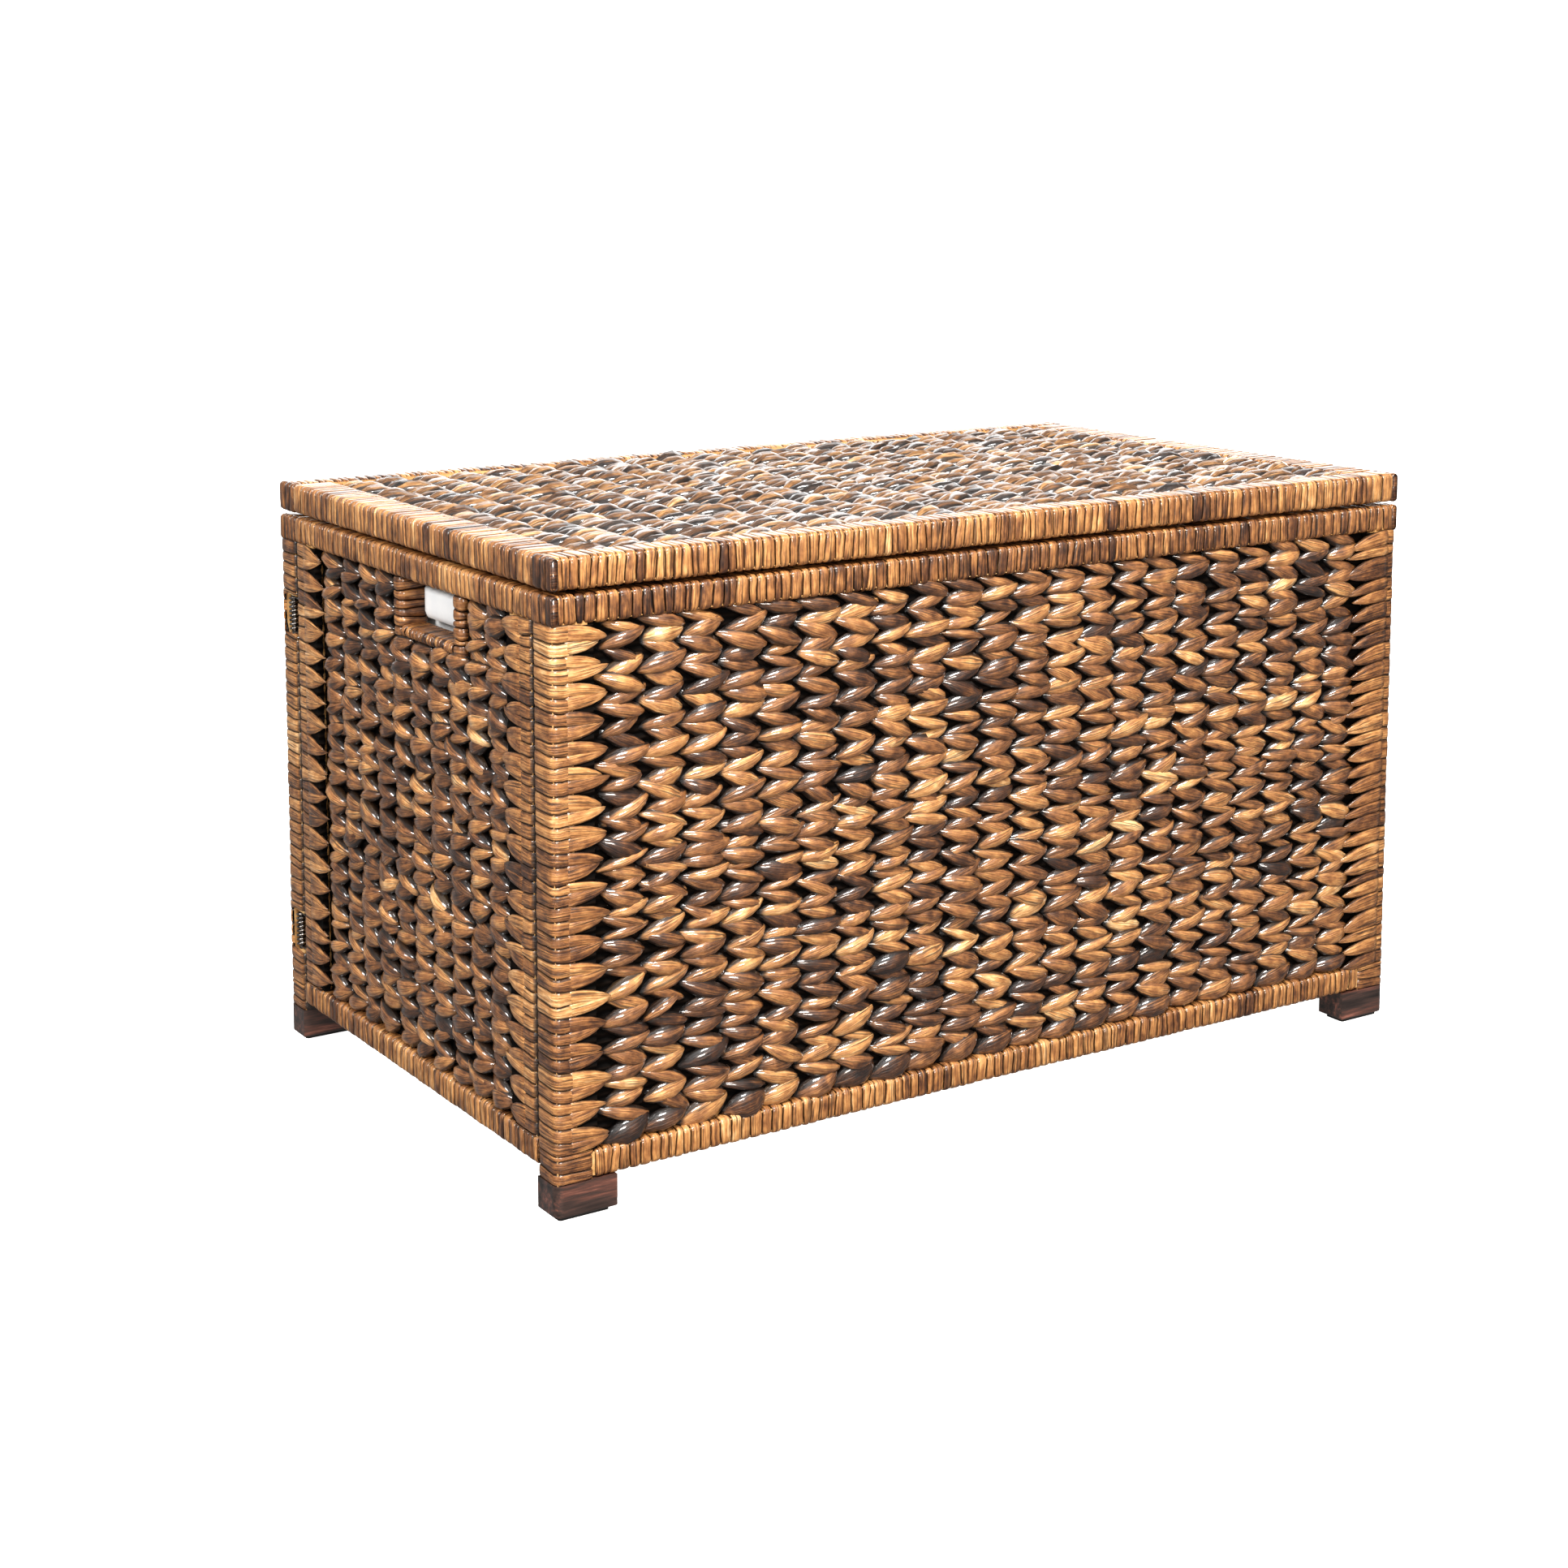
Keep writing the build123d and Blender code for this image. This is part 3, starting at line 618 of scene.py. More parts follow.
def section_loop(half_wide, half_high, radius):
    """Points round a rectangle with rounded corners, and how far round each one is."""
    radius = min(radius, half_wide * 0.98, half_high * 0.98)
    loop = []
    corners = (
        (half_wide - radius, half_high - radius, 0.0), (-half_wide + radius, half_high - radius, 90.0),
        (-half_wide + radius, -half_high + radius, 180.0), (half_wide - radius, -half_high + radius, 270.0),
    )
    for i, (x, y, first) in enumerate(corners):
        for turn in (0.0, 30.0, 60.0, 90.0):
            angle = math.radians(first + turn)
            loop.append((x + radius * math.cos(angle), y + radius * math.sin(angle)))
        next_x, next_y, next_first = corners[(i + 1) % 4]
        angle = math.radians(next_first)
        end = (next_x + radius * math.cos(angle), next_y + radius * math.sin(angle))
        here = loop[-1]
        for part in (1 / 3, 2 / 3):
            loop.append((here[0] + (end[0] - here[0]) * part, here[1] + (end[1] - here[1]) * part))
    loop = np.array(loop)
    steps = np.linalg.norm(np.roll(loop, -1, 0) - loop, axis=1)
    return loop, np.concatenate([[0], np.cumsum(steps)[:-1]])


def bind_rail(low, high, axis, radius, seed, narrow, wide, slant=0.0, rough=0.5 * mm, tone=0.55, edges=None,
              spread=0.08, darks=0.05, lift=strip_lift):
    """Strips bound round one timber from its low corner to its high corner, along the axis."""
    chance = np.random.default_rng(seed)
    low, high = np.array(low), np.array(high)
    one, two = [i for i in range(3) if i != axis]
    if axis == 1:
        one, two = two, one
    middle, half = (low + high) / 2, (high - low) / 2
    loop, gone = section_loop(half[one], half[two], radius)
    sides = len(loop)
    if edges is None:
        edges = [low[axis]]
        while edges[-1] < high[axis] - 1.3 * wide:
            edges.append(edges[-1] + narrow + (wide - narrow) * chance.beta(1.6, 1.6))
        edges.append(high[axis])
    points, faces, along, across, tones, rise, groove = [], [], [], [], [], [], []
    profile = ((0.0, 1.0), (0.07, 0.5), (0.19, 0.12), (0.5, 0.0), (0.81, 0.12), (0.93, 0.5), (1.0, 1.0))
    waviness = np.cumsum(chance.normal(0, 1, (len(edges), sides)), 1)
    waviness -= np.linspace(0, 1, sides)[None] * (waviness[:, -1:] - waviness[:, :1])
    waviness = (waviness - waviness.mean(1, keepdims=True)) / 3.0 * rough
    tilt = chance.normal(0, 0.5 * mm, (len(edges), 2))
    waviness += tilt[:, :1] * (loop[:, 0] / abs(loop[:, 0]).max())[None]
    waviness += tilt[:, 1:] * (loop[:, 1] / abs(loop[:, 1]).max())[None]
    waviness[0] = waviness[-1] = 0
    lean = slant * np.sin((loop[:, 0] + loop[:, 1]) / max(1 * mm, abs(loop).sum(1).max()) * quarter_turn)
    last_tone = tone
    for i in range(len(edges) - 1):
        first, last = edges[i], edges[i + 1]
        width = last - first
        proud = chance.uniform(0.0, 0.35 * mm)
        last_tone = tone + 0.35 * (last_tone - tone) + chance.normal(0, spread)
        if chance.random() < darks:
            last_tone -= 0.25
        strip_tone = float(np.clip(last_tone, 0.1, 0.92))
        start = len(points)
        lumps = chance.normal(0, 0.12 * mm, sides)
        offset = chance.uniform(0, 400)
        fade = max(0.0, min(1.0, (first - low[axis]) / end_fade, (high[axis] - last) / end_fade))
        for part, depth in profile:
            inward = proud + depth * lift * (0.75 if width < narrow_strip else 1.0)
            shrink_one = (half[one] - inward) / half[one]
            shrink_two = (half[two] - inward) / half[two]
            edge = waviness[i] * (1 - part) + waviness[i + 1] * part
            for j in range(sides):
                spot = np.zeros(3)
                spot[axis] = first + width * part + edge[j] + lean[j] * fade
                spot[axis] = min(max(spot[axis], low[axis]), high[axis])
                spot[one] = middle[one] + loop[j, 0] * shrink_one
                spot[two] = middle[two] + loop[j, 1] * shrink_two
                reach = math.hypot(spot[one] - middle[one], spot[two] - middle[two])
                if reach > 0 and 0 < part < 1:
                    more = 1 - max(0.0, lumps[j]) / reach
                    spot[one] = middle[one] + (spot[one] - middle[one]) * more
                    spot[two] = middle[two] + (spot[two] - middle[two]) * more
                points.append(spot)
                along.append(gone[j] / mm + offset)
                across.append(width * part / mm)
                tones.append(strip_tone)
                # The finish darkens each strip towards its edges by groove: painted shade, with stain, in the
                # grooves between strips
                rise.append(1.0 - 0.4 * depth)
                groove.append(abs(2 * part - 1))
        count = len(profile)
        for ring in range(count):
            after = (ring + 1) % count
            for j in range(sides):
                k = (j + 1) % sides
                face = (start + ring * sides + j, start + ring * sides + k,
                        start + after * sides + k, start + after * sides + j)
                faces.append(face)
    # A folded end of leaf closes each end of the binding
    for end, inwards in ((low[axis], 1), (high[axis], -1)):
        start = len(points)
        for depth in (0.3 * mm, 1.3 * mm):
            for j in range(sides):
                spot = np.zeros(3)
                spot[axis] = end + inwards * depth
                spot[one] = middle[one] + loop[j, 0] * (1 - closing_inset / half[one])
                spot[two] = middle[two] + loop[j, 1] * (1 - closing_inset / half[two])
                points.append(spot)
                along.append(spot[two] / mm)
                across.append(spot[one] / mm)
                tones.append(tone - 0.1)
                rise.append(0.8)
                groove.append(0.2)
        faces.append(tuple(start + j for j in range(sides)))
        faces.append(tuple(start + sides + j for j in reversed(range(sides))))
        for j in range(sides):
            k = (j + 1) % sides
            faces.append((start + j, start + sides + j, start + sides + k, start + k))
    values = {"along_mm": along, "across_mm": across, "tone": tones, "rise": rise, "groove": groove}
    return np.array(points), faces, values


def join_shapes(shapes):
    """Several shapes as one."""
    points, faces = [], []
    values = {label: [] for label in shapes[0][2]}
    for some_points, some_faces, some_values in shapes:
        start = sum(len(p) for p in points)
        points.append(some_points)
        faces += [tuple(v + start for v in face) for face in some_faces]
        for label in values:
            values[label] += list(some_values[label])
    return np.concatenate(points), faces, values


hinge_edge_radius = 7.4 * mm
coil_side_room = 6 * mm
coil_round_room = 2 * mm


def clear_hinge_edge(points, low, high, side):
    """Roll the rail's edge at the hinge line, so that the lid turns past the back rail, and open
    the strips round the three hinge coils. Side is 1 for the back rail, and -1 for the lid's."""
    centre_y = high.y - hinge_edge_radius
    centre_z = (high.z if side > 0 else low.z) - side * hinge_edge_radius
    from_centre = points[:, 1:] - np.array([centre_y, centre_z])
    distance = np.maximum(np.linalg.norm(from_centre, axis=1), 0.1 * mm)
    outside = (from_centre[:, 0] > 0) & (from_centre[:, 1] * side > 0) & (distance > hinge_edge_radius)
    points[outside, 1:] -= from_centre[outside] * (1 - hinge_edge_radius / distance[outside])[:, None]
    for number in (1, 2, 3):
        coil_low, coil_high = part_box(f"lid_hinge_coil_{number}")
        radius = (coil_high.y - coil_low.y) / 2
        away = points[:, 1:] - np.array([(coil_low.y + coil_high.y) / 2, coil_low.z + radius])
        distance = np.maximum(np.linalg.norm(away, axis=1), 0.1 * mm)
        clear_radius = radius + coil_round_room
        inside = (points[:, 0] > coil_low.x - coil_side_room) & (points[:, 0] < coil_high.x + coil_side_room)
        inside &= distance < clear_radius
        points[inside, 1:] += away[inside] * (clear_radius / distance[inside] - 1)[:, None]
    points[:, 2] = np.clip(points[:, 2], low.z, high.z)


# Top and bottom rails of the four panels
rail_radius = 4.0 * mm
cap_radius = 3 * mm
end_cap = 7.0 * mm
cap_overlap = 2.0 * mm
narrowest = 4.2 * mm


def bind_capped_rail(low, high, radius, seed, cap_seed, widest, tone, cap_tone, hinge_side):
    """A long rail bound along its length, with a cap of strips round each of its ends. Hinge side is
    1 for the rail under the hinge, -1 for the lid's rail at the hinge, and 0 for the others."""
    inset = X * (end_cap - cap_overlap)
    shapes = [bind_rail(low + inset, high - inset, 0, radius, seed, narrowest, widest, 0.5 * mm, tone=tone)]
    for side in (0, 1):
        cap_low = Vector((low.x if side == 0 else high.x - end_cap, low.y, low.z))
        cap_high = Vector((low.x + end_cap if side == 0 else high.x, high.y, high.z))
        shapes.append(
            bind_rail(cap_low, cap_high, 1, cap_radius, cap_seed + side, 6 * mm, 9 * mm, tone=cap_tone)
        )
    if hinge_side:
        for one_shape in shapes:
            clear_hinge_edge(one_shape[0], low, high, hinge_side)
    return join_shapes(shapes)


for i, wall in enumerate(("front", "back")):
    low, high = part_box(wall + "_top_rail")
    radius = rail_radius if wall == "front" else hinge_edge_radius
    shape = bind_capped_rail(low, high, radius, 20 + i, 30 + i * 2, 11.0 * mm, 0.42, 0.38, i)
    made = make_piece(wall + "_top_binding", *shape, wrapped_banana_leaf, "trunk", "wrapped_leaf",
                      wall + "_top_rail")
    outward_faces(made)
    low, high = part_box(wall + "_bottom_rail")
    shape = bind_rail(low, high, 0, rail_radius, 40 + i, narrowest, 10.5 * mm, 0.8 * mm, tone=0.58)
    made = make_piece(wall + "_bottom_binding", *shape, wrapped_banana_leaf, "trunk", "wrapped_leaf",
                      wall + "_bottom_rail")
    outward_faces(made)

for i, wall in enumerate(("left", "right")):
    for part, seed in (("top", 50), ("bottom", 54)):
        low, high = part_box(f"{wall}_{part}_rail")
        shape = bind_rail(low, high, 1, rail_radius, seed + i, narrowest, 11.0 * mm, 0.9 * mm)
        made = make_piece(f"{wall}_{part}_binding", *shape, wrapped_banana_leaf, "trunk", "wrapped_leaf",
                          f"{wall}_{part}_rail")
        outward_faces(made)

# Posts at the ends of each panel, bound like the rails. Their strips run on into the field.
tongue_length = 34 * mm
tongue_root = 10 * mm
post_radius = 5 * mm
tongue_side = 12 * mm
rising_strip = 11.5 * mm
band_over = 1.5 * mm
seam_shading_reach = 7 * mm
coil_tall = 28.6 * mm
coil_gap = 1.5 * mm
coil_skin = 7 * mm
under_lap = 1 * mm
under_past = 2 * mm
under_sunk = 1.1 * mm
under_thick = 6 * mm


def leaf_tongues(edges, post_edge, out, right, level, toward, seed, tones, rising):
    """The ends of the strips, which leave the post and run in between the first bundles: each is
    as tall as its strip at the post, and narrows to a point as it dives under."""
    chance = np.random.default_rng(seed)
    stations = np.array([0.0, 0.16, 0.38, 0.6, 0.8, 0.94, 1.0])
    tall = np.array([1.0, 1.02, 1.0, 0.9, 0.62, 0.3, 0.05])
    sink = np.array([1.6, 0.0, 0.0, 0.1, 0.5, 1.5, 2.6]) * mm
    around = 10
    points, faces, along, across, tone_list, rise, groove = [], [], [], [], [], [], []
    for k in range(len(edges) - 1):
        height = edges[k + 1] - edges[k]
        centre = (edges[k + 1] + edges[k]) / 2
        partner = edges[k + 1] if k % 2 == 0 else edges[k]
        meet = partner + chance.normal(0, 0.8 * mm)
        length = tongue_length * chance.uniform(0.85, 1.1)
        plump = 1.35 * mm
        if rising:
            meet = centre - chance.uniform(4.5, 9.0) * mm
            length = tongue_length * chance.uniform(1.05, 1.3)
            plump = 2.4 * mm
        start = len(points)
        offset = chance.uniform(0, 300)
        for s, t, d in zip(stations, tall, sink):
            centre_here = centre + (meet - centre) * s ** 1.8 * 0.9
            for a in range(around):
                angle = 2 * math.pi * a / around
                # Flat strips, so their sections are nearly rectangles
                sine = math.copysign(abs(math.sin(angle)) ** 0.7, math.sin(angle))
                cosine = math.copysign(abs(math.cos(angle)) ** 0.45, math.cos(angle))
                x = post_edge + toward * s * length
                z = centre_here + 0.5 * height * 1.02 * t * sine
                y = -d + (plump * t + 0.3 * mm) * cosine - 1.5 * mm
                points.append(np.array(right * x + Z * z + out * (level + y)))
                along.append(s * length / mm + offset)
                across.append(0.5 * height / mm * sine * (1 if cosine > -0.1 else 1.4))
                tone_list.append(tones[k])
                # The finish darkens each tongue towards its tip by rise and towards its edges by groove:
                # painted shade, with stain, where it dives under and between tongues
                rise.append(float(np.clip(1.15 - s * 0.75, 0, 1)))
                groove.append(abs(math.sin(angle)) ** 1.2)
        count = len(stations)
        for ring in range(count - 1):
            for a in range(around):
                b = (a + 1) % around
                faces.append((start + ring * around + a, start + ring * around + b,
                              start + (ring + 1) * around + b, start + (ring + 1) * around + a))
        faces.append(tuple(start + a for a in range(around)))
        faces.append(tuple(start + (count - 1) * around + a for a in reversed(range(around))))
    values = {"along_mm": along, "across_mm": across, "tone": tone_list, "rise": rise, "groove": groove}
    return np.array(points), faces, values


for wall, out, posts in (
    ("front", -Y, ("left", "right")), ("back", Y, ("left", "right")),
    ("left", -X, ("front", "back")), ("right", X, ("front", "back")),
):
    right = Z.cross(out)
    flat = 0 if wall in ("front", "back") else 1
    field_low, field_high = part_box(wall + "_weave")
    for number, post in enumerate(posts):
        node = f"{wall}_{post}_post"
        low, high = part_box(node)
        seed = 60 + 4 * number + {"front": 0, "back": 1, "left": 2, "right": 3}[wall]
        chance = np.random.default_rng(seed)
        # Strip edges keep step with the rows, so that the tongues run in between the bundles. At one
        # post the strips are taller and their tongues rise to it.
        rising = node == "front_right_post"
        field_base = field_low.z
        field_tall = field_high.z - field_base
        rows = int(round(field_tall / (rising_strip if rising else row_pitch)))
        step = field_tall / rows
        stray = 2.0 * mm if rising else 0.9 * mm
        edges = [
            field_base + step * k + (chance.normal(0, stray) if 0 < k < rows else 0) for k in range(rows + 1)
        ]
        below = [low.z]
        while below[-1] < field_base - 11 * mm:
            below.append(below[-1] + chance.uniform(7, 9) * mm)
        below.append(field_base)
        at_low_side = low[flat] < 0
        band_low, band_high = low.copy(), high.copy()
        if at_low_side:
            band_high[flat] -= tongue_side
        else:
            band_low[flat] += tongue_side
        band_low.z = field_base
        band_high.z += band_over
        edges[-1] += band_over
        shape = bind_rail(band_low, band_high, 2, post_radius, seed, 7 * mm, 11 * mm, 0.4 * mm, edges=edges,
                          tone=0.55, spread=0.1, lift=0.7 * mm)
        foot_top = (high.x, high.y, field_base)
        foot_of_post = bind_rail(low, foot_top, 2, post_radius, seed + 200, 7 * mm, 9 * mm, 0.2 * mm,
                                 edges=below, tone=0.5, spread=0.1, lift=0.8 * mm)
        # Painted shade, with stain, in the seam between two panels: the strips darken towards it
        for shape_here in (shape, foot_of_post):
            if wall in ("front", "back"):
                from_seam = np.abs(shape_here[0][:, 1] - (high.y if out.y < 0 else low.y))
            else:
                from_seam = np.abs(shape_here[0][:, 1] - (low.y if at_low_side else high.y))
            seam_shading = np.clip(1.25 - from_seam / seam_shading_reach, 0, 1.02)
            shape_here[2]["groove"] = list(np.maximum(shape_here[2]["groove"], seam_shading))
        strips = len(edges) - 1
        per_strip = len(shape[0]) // strips
        strip_tones = [shape[2]["tone"][per_strip * s] for s in range(strips)]
        if wall == "back":
            # The strips part round the two corner coils, which lie in slots open to the seam
            side = "left" if low.x < 0 else "right"
            coil_low, coil_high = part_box(f"back_{side}_corner_coils")
            coil_across = coil_high.x - coil_low.x
            slot_end = coil_high.y + coil_gap
            skin = max(abs(low.x), abs(high.x))
            points = shape[0]
            for bottom in (coil_low.z, coil_high.z - coil_tall):
                inside = (points[:, 2] > bottom - coil_gap) & (points[:, 2] < bottom + coil_tall + coil_gap)
                inside &= (points[:, 1] < slot_end) & (np.abs(points[:, 0]) > skin - coil_skin)
                deep_skin = skin - coil_across - coil_gap
                points[inside, 0] = np.sign(low.x) * np.minimum(np.abs(points[inside, 0]), deep_skin)
        post_edge = (band_high if at_low_side else band_low)[flat]
        toward_field = 1 if at_low_side else -1
        # Leaf pushed in under the tongues, in the near-black finish: painted shade between them
        under_low, under_high = low.copy(), high.copy()
        if at_low_side:
            under_low[flat] = high[flat] - tongue_side - under_lap
            under_high[flat] += under_past
        else:
            under_high[flat] = low[flat] + tongue_side + under_lap
            under_low[flat] -= under_past
        deep = 1 - flat
        if out[deep] < 0:
            under_low[deep] += under_sunk
            under_high[deep] = under_low[deep] + under_thick
        else:
            under_high[deep] -= under_sunk
            under_low[deep] = under_high[deep] - under_thick
        under_low.z = max(under_low.z, field_low.z)
        backing(f"{wall}_{post}_packed_leaf", under_low, under_high, [], "trunk", "wrapped_leaf")
        sign = right[flat]
        level = {"front": -low.y, "back": high.y, "left": -low.x, "right": high.x}[wall]
        tongue_start = (post_edge - toward_field * tongue_root) * sign
        tongues = leaf_tongues(edges, tongue_start, out, right, level, toward_field * sign, seed + 100,
                               strip_tones, rising)
        made = make_piece(f"{wall}_{post}_binding", *join_shapes([shape, foot_of_post, tongues]),
                          wrapped_banana_leaf, "trunk", "wrapped_leaf", node)
        outward_faces(made)

# ---------------------------------------------------------------------------------------------
# Hand slots: an opening under the top rail of each end panel. Two stakes stand at its sides and
# a dowel is its sill, all three bound with the same strips, the sill in a close spiral.
# ---------------------------------------------------------------------------------------------
jamb_width = 14 * mm
sill_height = 9 * mm
for i, wall in enumerate(("left", "right")):
    low, high = slot_box[wall]
    shapes = []
    for side in (0, 1):
        jamb_low = Vector((low.x, low.y if side == 0 else high.y - jamb_width, low.z))
        jamb_high = Vector((high.x, low.y + jamb_width if side == 0 else high.y, high.z))
        shapes.append(bind_rail(jamb_low, jamb_high, 2, 5 * mm, 80 + 2 * i + side, 5 * mm, 8 * mm, tone=0.42))
    sill_low = Vector((low.x, low.y + jamb_width, low.z))
    sill_high = Vector((high.x, high.y - jamb_width, low.z + sill_height))
    shapes.append(bind_rail(sill_low, sill_high, 1, 4 * mm, 90 + i, 4 * mm, 6 * mm, 2.2 * mm, tone=0.5))
    made = make_piece(wall + "_slot_binding", *join_shapes(shapes), wrapped_banana_leaf, "trunk",
                      "wrapped_leaf", wall + "_slot_trim")
    outward_faces(made)

# ---------------------------------------------------------------------------------------------
# Lid: a frame of four rails with the same twined field on both faces, its rows along the trunk,
# on stakes that run front to back. Three wire coils hinge it to the back panel.
# ---------------------------------------------------------------------------------------------
low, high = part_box("lid_weave")
reach = 4 * mm
lid_weave_depth = weave_depth - 0.6 * mm
for face, out, seed in (("top", Z, 15), ("bottom", -Z, 16)):
    right = Y.cross(out)
    width = high.x - low.x + reach
    depth = high.y - low.y + reach
    start = Vector((-right.x * width / 2, low.y - reach / 2, 0))
    outer = high.z if face == "top" else low.z
    leaves = weave_rows(width, depth, 22, seed)
    points, faces, values = lay_leaves(leaves, out, right, Y, start, outer * out.z)
    points[:, 2] -= out.z * lid_weave_depth
    nodes = ["lid_weave"] if face == "top" else []
    make_piece("lid_" + face + "_woven_field", points, faces, values, lid_banana_leaf_shaded, "lid", "twined_leaf",
               *nodes)
backing("lid_packed_leaf", low + Z * packed_depth, high - Z * packed_depth, [], "lid", "twined_leaf")

for i, rail in enumerate(("front", "back")):
    low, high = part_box(f"lid_{rail}_rail")
    radius = rail_radius if rail == "front" else hinge_edge_radius
    shape = bind_capped_rail(low, high, radius, 100 + i, 104 + i * 2, 10.5 * mm, 0.55, 0.32, -i)
    made = make_piece(f"lid_{rail}_binding", *shape, wrapped_banana_leaf, "lid", "wrapped_leaf",
                      f"lid_{rail}_rail")
    outward_faces(made)
for i, rail in enumerate(("left", "right")):
    low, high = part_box(f"lid_{rail}_rail")
    shape = bind_rail(low, high, 1, rail_radius, 110 + i, 4.5 * mm, 12 * mm, 1.2 * mm)
    made = make_piece(f"lid_{rail}_binding", *shape, wrapped_banana_leaf, "lid", "wrapped_leaf",
                      f"lid_{rail}_rail")
    outward_faces(made)

# ---------------------------------------------------------------------------------------------
# Lining: a sewn cotton bag that hangs in the trunk, four walls and a base in one piece, with a
# doubled hem. It is slack, so its walls belly.
# ---------------------------------------------------------------------------------------------
low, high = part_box("liner")
# Plain-woven cotton, bleached: off-white, matt, with a thread about every half millimetre.
bleached_cotton, shader = new_finish("bleached_cotton")
place = add_node(bleached_cotton, "ShaderNodeTexCoord")
threads = add_node(
    bleached_cotton, "ShaderNodeTexNoise", {"Scale": 1500.0, "Detail": 2.0},
    {"Vector": place.outputs["Object"]},
)
creases = add_node(
    bleached_cotton, "ShaderNodeTexNoise", {"Scale": 26.0, "Detail": 4.0}, {"Vector": place.outputs["Object"]}
)
cotton_colours = add_node(bleached_cotton, "ShaderNodeValToRGB", None, {"Fac": creases.outputs["Fac"]})
set_ramp(cotton_colours, [(0.3, "#E4E5E6"), (0.7, "#F6F5F2")])
thread_bump = add_node(
    bleached_cotton, "ShaderNodeBump", {"Strength": 0.3, "Distance": 0.2 * mm},
    {"Height": threads.outputs["Fac"]},
)
crease_bump = add_node(
    bleached_cotton, "ShaderNodeBump", {"Strength": 0.4, "Distance": 0.003},
    {"Height": creases.outputs["Fac"], "Normal": thread_bump.outputs["Normal"]},
)
bleached_cotton.node_tree.links.new(cotton_colours.outputs["Color"], shader.inputs["Base Color"])
bleached_cotton.node_tree.links.new(crease_bump.outputs["Normal"], shader.inputs["Normal"])
shader.inputs["Roughness"].default_value = 0.85
shader.inputs["Sheen Weight"].default_value = 0.2

cloth_thickness = 0.8 * mm
corner_radius = 14 * mm
levels = np.array([0.0, 0.01, 0.03, 0.08, 0.2, 0.35, 0.5, 0.65, 0.8, 0.9, 0.96, 1.0])
chance = np.random.default_rng(7)


def bag_loop(inset, steps):
    """Points round the bag, with the direction that each bellies in."""
    a, b = (high.x - low.x) / 2 - inset, (high.y - low.y) / 2 - inset
    r = corner_radius
    runs = []
    for cx, cy, first, length_steps in (
        (a - r, b - r, 0, steps[0]), (-a + r, b - r, 90, steps[1]),
        (-a + r, -b + r, 180, steps[0]), (a - r, -b + r, 270, steps[1]),
    ):
        for turn in np.linspace(0, 90, 5):
            angle = math.radians(first + turn)
            nx, ny = math.cos(angle), math.sin(angle)
            runs.append((cx + r * nx, cy + r * ny, nx, ny, 0.0))
        angle = math.radians(first + 90)
        nx, ny = math.cos(angle), math.sin(angle)
        tx, ty = -ny, nx
        span = 2 * (a - r) if first in (0, 180) else 2 * (b - r)
        sx, sy = cx + r * nx, cy + r * ny
        for part in np.linspace(0, 1, length_steps + 2)[1:-1]:
            runs.append((sx + tx * span * part, sy + ty * span * part, nx, ny, math.sin(math.pi * part)))
    return runs


around = bag_loop(cloth_thickness + 0.6 * mm, (34, 60))
# The cloth presses out a little way into the two hand slots
slot_push = 15.0 * mm
slot_low, slot_high = slot_box["left"]
slot_from, slot_to = slot_low.z + 10.5 * mm, slot_high.z - 1.5 * mm
slot_half = (slot_high.y - slot_low.y) / 2 - 15.5 * mm
bag_tall = high.z - low.z
low_levels = [v for v in levels if low.z + bag_tall * v < slot_from - 3 * mm]
high_levels = [v for v in levels if low.z + bag_tall * v > slot_to + 9 * mm]
slot_levels = [(z - low.z) / bag_tall for z in np.arange(slot_from, slot_to + 6 * mm, 4 * mm)]
levels = low_levels + slot_levels + high_levels
bag_foot = 1.0 * mm
count = len(around)
points, faces = [], []
waves = chance.uniform(0, full_turn, 8)
for level in levels:
    z = low.z + bag_foot + (bag_tall - bag_foot) * level
    for x, y, nx, ny, belly in around:
        hang = belly * (
            3.0 * mm * math.sin(math.pi * min(1.0, level * 1.05))
            + 1.3 * mm * math.sin((x + y) / 0.023 + 3 * level + waves[0]) * math.sin(math.pi * level)
            + 1.0 * mm * math.sin((x - y) / 0.041 - 6 * level + waves[1])
        )
        pull = 5.0 * mm * max(0.0, 1 - level / 0.03) if level < 0.03 else 0.0
        inward = max(0.0, hang) + pull
        if abs(nx) > 0.99:
            own_low, own_high = slot_box["left" if nx < 0 else "right"]
            from_middle = abs(y - (own_low.y + own_high.y) / 2)
            side_part = min(1.0, max(0.0, (slot_half - from_middle) / (7 * mm)))
            tall_part = min(1.0, max(0.0, (z - slot_from) / (6 * mm)), max(0.0, (slot_to - z) / (5 * mm)))
            pushed = math.sin(side_part * math.pi / 2) * math.sin(max(0.0, tall_part) * math.pi / 2)
            inward = inward * (1 - pushed) - slot_push * pushed
        points.append((x - nx * inward, y - ny * inward, z - (0.8 * mm * belly if level == 1.0 else 0)))
for ring in range(len(levels) - 1):
    for j in range(count):
        k = (j + 1) % count
        faces.append((ring * count + j, (ring + 1) * count + j, (ring + 1) * count + k, ring * count + k))
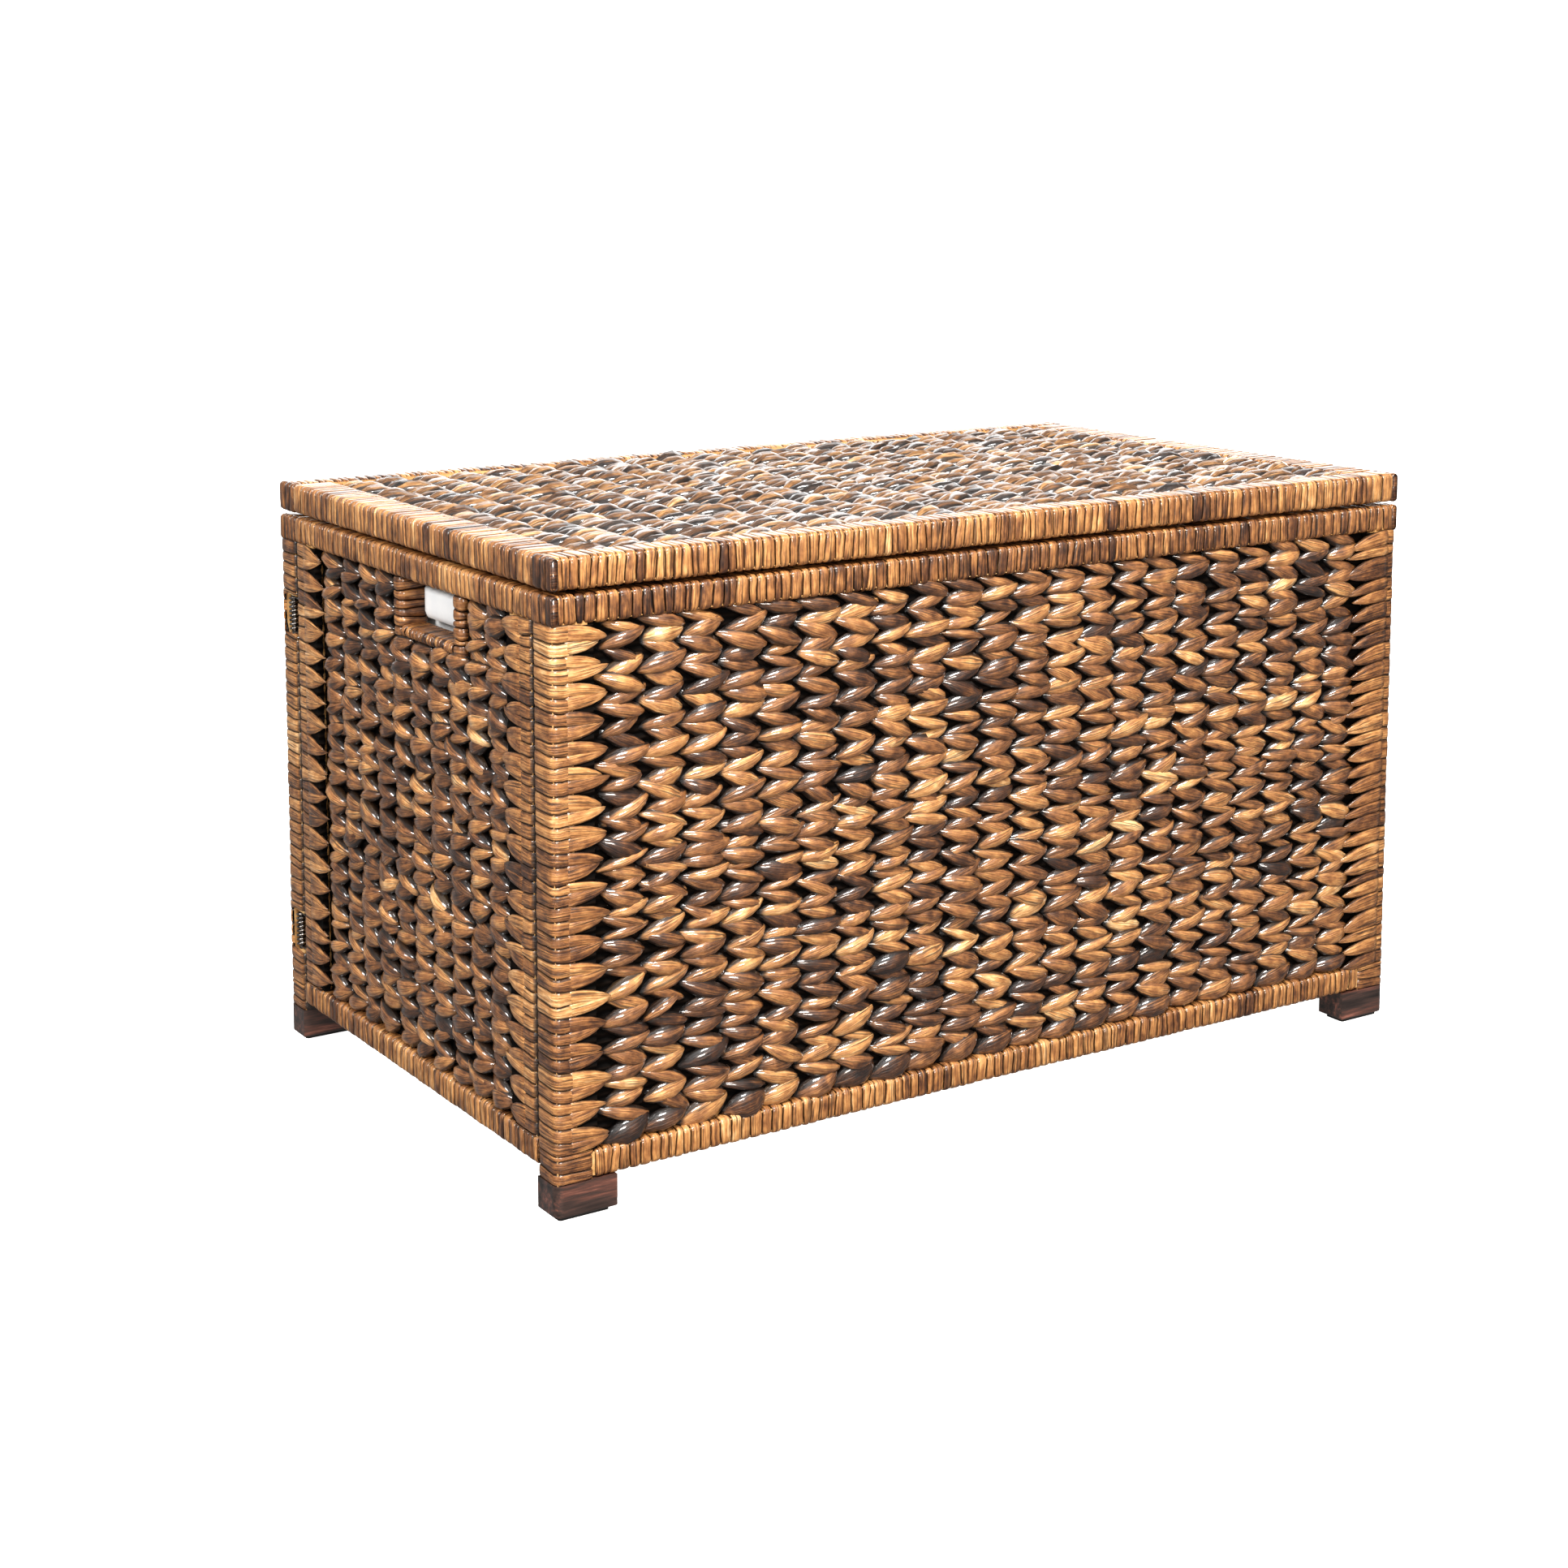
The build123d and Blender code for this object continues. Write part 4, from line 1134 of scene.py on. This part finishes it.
# The base: rings that shrink to a middle line
rings_in = 6
for ring in range(1, rings_in + 1):
    part = 1 - ring / (rings_in + 0.35)
    start = len(points)
    for j in range(count):
        x, y, _ = points[j]
        ripple = 0.7 * mm * (1 + math.sin(x / 0.03 + waves[2]) * math.sin(y / 0.026 + waves[3]))
        points.append((x * part, y * part, low.z + 0.9 * mm + (ripple if ring < rings_in else 0.3 * mm)))
    before = 0 if ring == 1 else start - count
    for j in range(count):
        k = (j + 1) % count
        faces.append((before + j, before + k, start + k, start + j))
faces.append(tuple(len(points) - count + j for j in range(count)))
mesh = bpy.data.meshes.new("lining_bag")
mesh.from_pydata(points, [], faces)
mesh.polygons.foreach_set("use_smooth", [True] * len(mesh.polygons))
mesh.materials.append(bleached_cotton)
bag = bpy.data.objects.new("lining_bag", mesh)
bpy.context.scene.collection.objects.link(bag)
outward_faces(bag)
thick = bag.modifiers.new("cloth", "SOLIDIFY")
thick.thickness = cloth_thickness
thick.offset = 0
bpy.ops.object.modifier_apply(modifier="cloth")
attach(bag, "trunk")
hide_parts("liner")

# ---------------------------------------------------------------------------------------------
# Studio: a pale floor in a white dome, soft light all round, two long lamps behind that glance off
# the lacquer, and smaller ones above, in front and to the left.
# ---------------------------------------------------------------------------------------------
bpy.ops.object.select_all(action="DESELECT")
bpy.ops.mesh.primitive_plane_add(size=60.0, location=(0, 0, 0))
floor = bpy.context.object
floor.name = "studio_floor"
painted_floor, shader = new_finish("painted_floor")
shader.inputs["Base Color"].default_value = linear_colour("#F6F5F3")
shader.inputs["Roughness"].default_value = 0.9
shader.inputs["Emission Color"].default_value = linear_colour("#FFFFFF")
shader.inputs["Emission Strength"].default_value = 0.85
floor.data.materials.append(painted_floor)
floor.visible_diffuse = False
floor.visible_glossy = False
bpy.ops.object.select_all(action="DESELECT")
bpy.ops.mesh.primitive_uv_sphere_add(segments=48, ring_count=24, radius=28.0, location=(0, 0, 0))
backdrop = bpy.context.object
backdrop.name = "studio_backdrop"
lit_backdrop, shader = new_finish("lit_backdrop")
shader.inputs["Base Color"].default_value = linear_colour("#FFFFFF")
shader.inputs["Emission Color"].default_value = linear_colour("#FFFFFF")
shader.inputs["Emission Strength"].default_value = 1.0
backdrop.data.materials.append(lit_backdrop)
backdrop.visible_diffuse = False
backdrop.visible_glossy = False
backdrop.visible_shadow = False
backdrop.visible_transmission = False

world = bpy.data.worlds.new("studio_room")
world.use_nodes = True
world.node_tree.nodes["Background"].inputs["Color"].default_value = linear_colour("#FFFFFF")
world.node_tree.nodes["Background"].inputs["Strength"].default_value = 0.3
bpy.context.scene.world = world


def studio_lamp(name, position, target, size, power, colour):
    """A square softbox that faces a point."""
    lamp = bpy.data.lights.new(name, "AREA")
    lamp.shape = "RECTANGLE"
    lamp.size, lamp.size_y = size
    lamp.energy = power
    lamp.color = linear_colour(colour)[:3]
    holder = bpy.data.objects.new(name, lamp)
    bpy.context.scene.collection.objects.link(holder)
    holder.location = position
    holder.rotation_euler = (Vector(target) - Vector(position)).to_track_quat("-Z", "Y").to_euler()


studio_lamp("back_lamp", (1.5, 2.2, 1.9), (0, 0, 0.4), (2.4, 1.4), 24, "#FFFFFF")
studio_lamp("far_lamp", (1.6, 3.2, 0.95), (0, 0, 0.45), (5.0, 1.3), 44, "#FFFFFF")
studio_lamp("top_lamp", (-0.6, -1.5, 2.4), (0, 0, 0.3), (0.9, 0.5), 110, "#FFFFFF")
studio_lamp("front_lamp", (-0.9, -2.6, 1.0), (0.1, 0, 0.2), (0.9, 0.5), 52, "#FFF8F0")
studio_lamp("left_lamp", (-2.3, -0.5, 1.5), (-0.3, 0, 0.25), (0.7, 0.5), 40, "#FFFFFF")

bpy.context.scene.view_settings.view_transform = "Standard"
bpy.context.scene.view_settings.look = "Medium High Contrast"

camera_data = bpy.data.cameras.new("camera")
camera = bpy.data.objects.new("camera", camera_data)
bpy.context.scene.collection.objects.link(camera)
yaw, pitch = math.radians(33.04), math.radians(7.24)
forward = Vector((math.sin(yaw) * math.cos(pitch), math.cos(yaw) * math.cos(pitch), -math.sin(pitch)))
camera.location = (-1.1642, -1.6894, 0.7186)
camera.rotation_euler = forward.to_track_quat("-Z", "Y").to_euler()
camera_data.sensor_width = 36.0
camera_data.lens = 60.48
camera_data.shift_x = 0.006
camera_data.shift_y = -0.207
camera_data.clip_start = 0.05
camera_data.dof.use_dof = False
bpy.context.scene.camera = camera

bpy.context.view_layer.update()
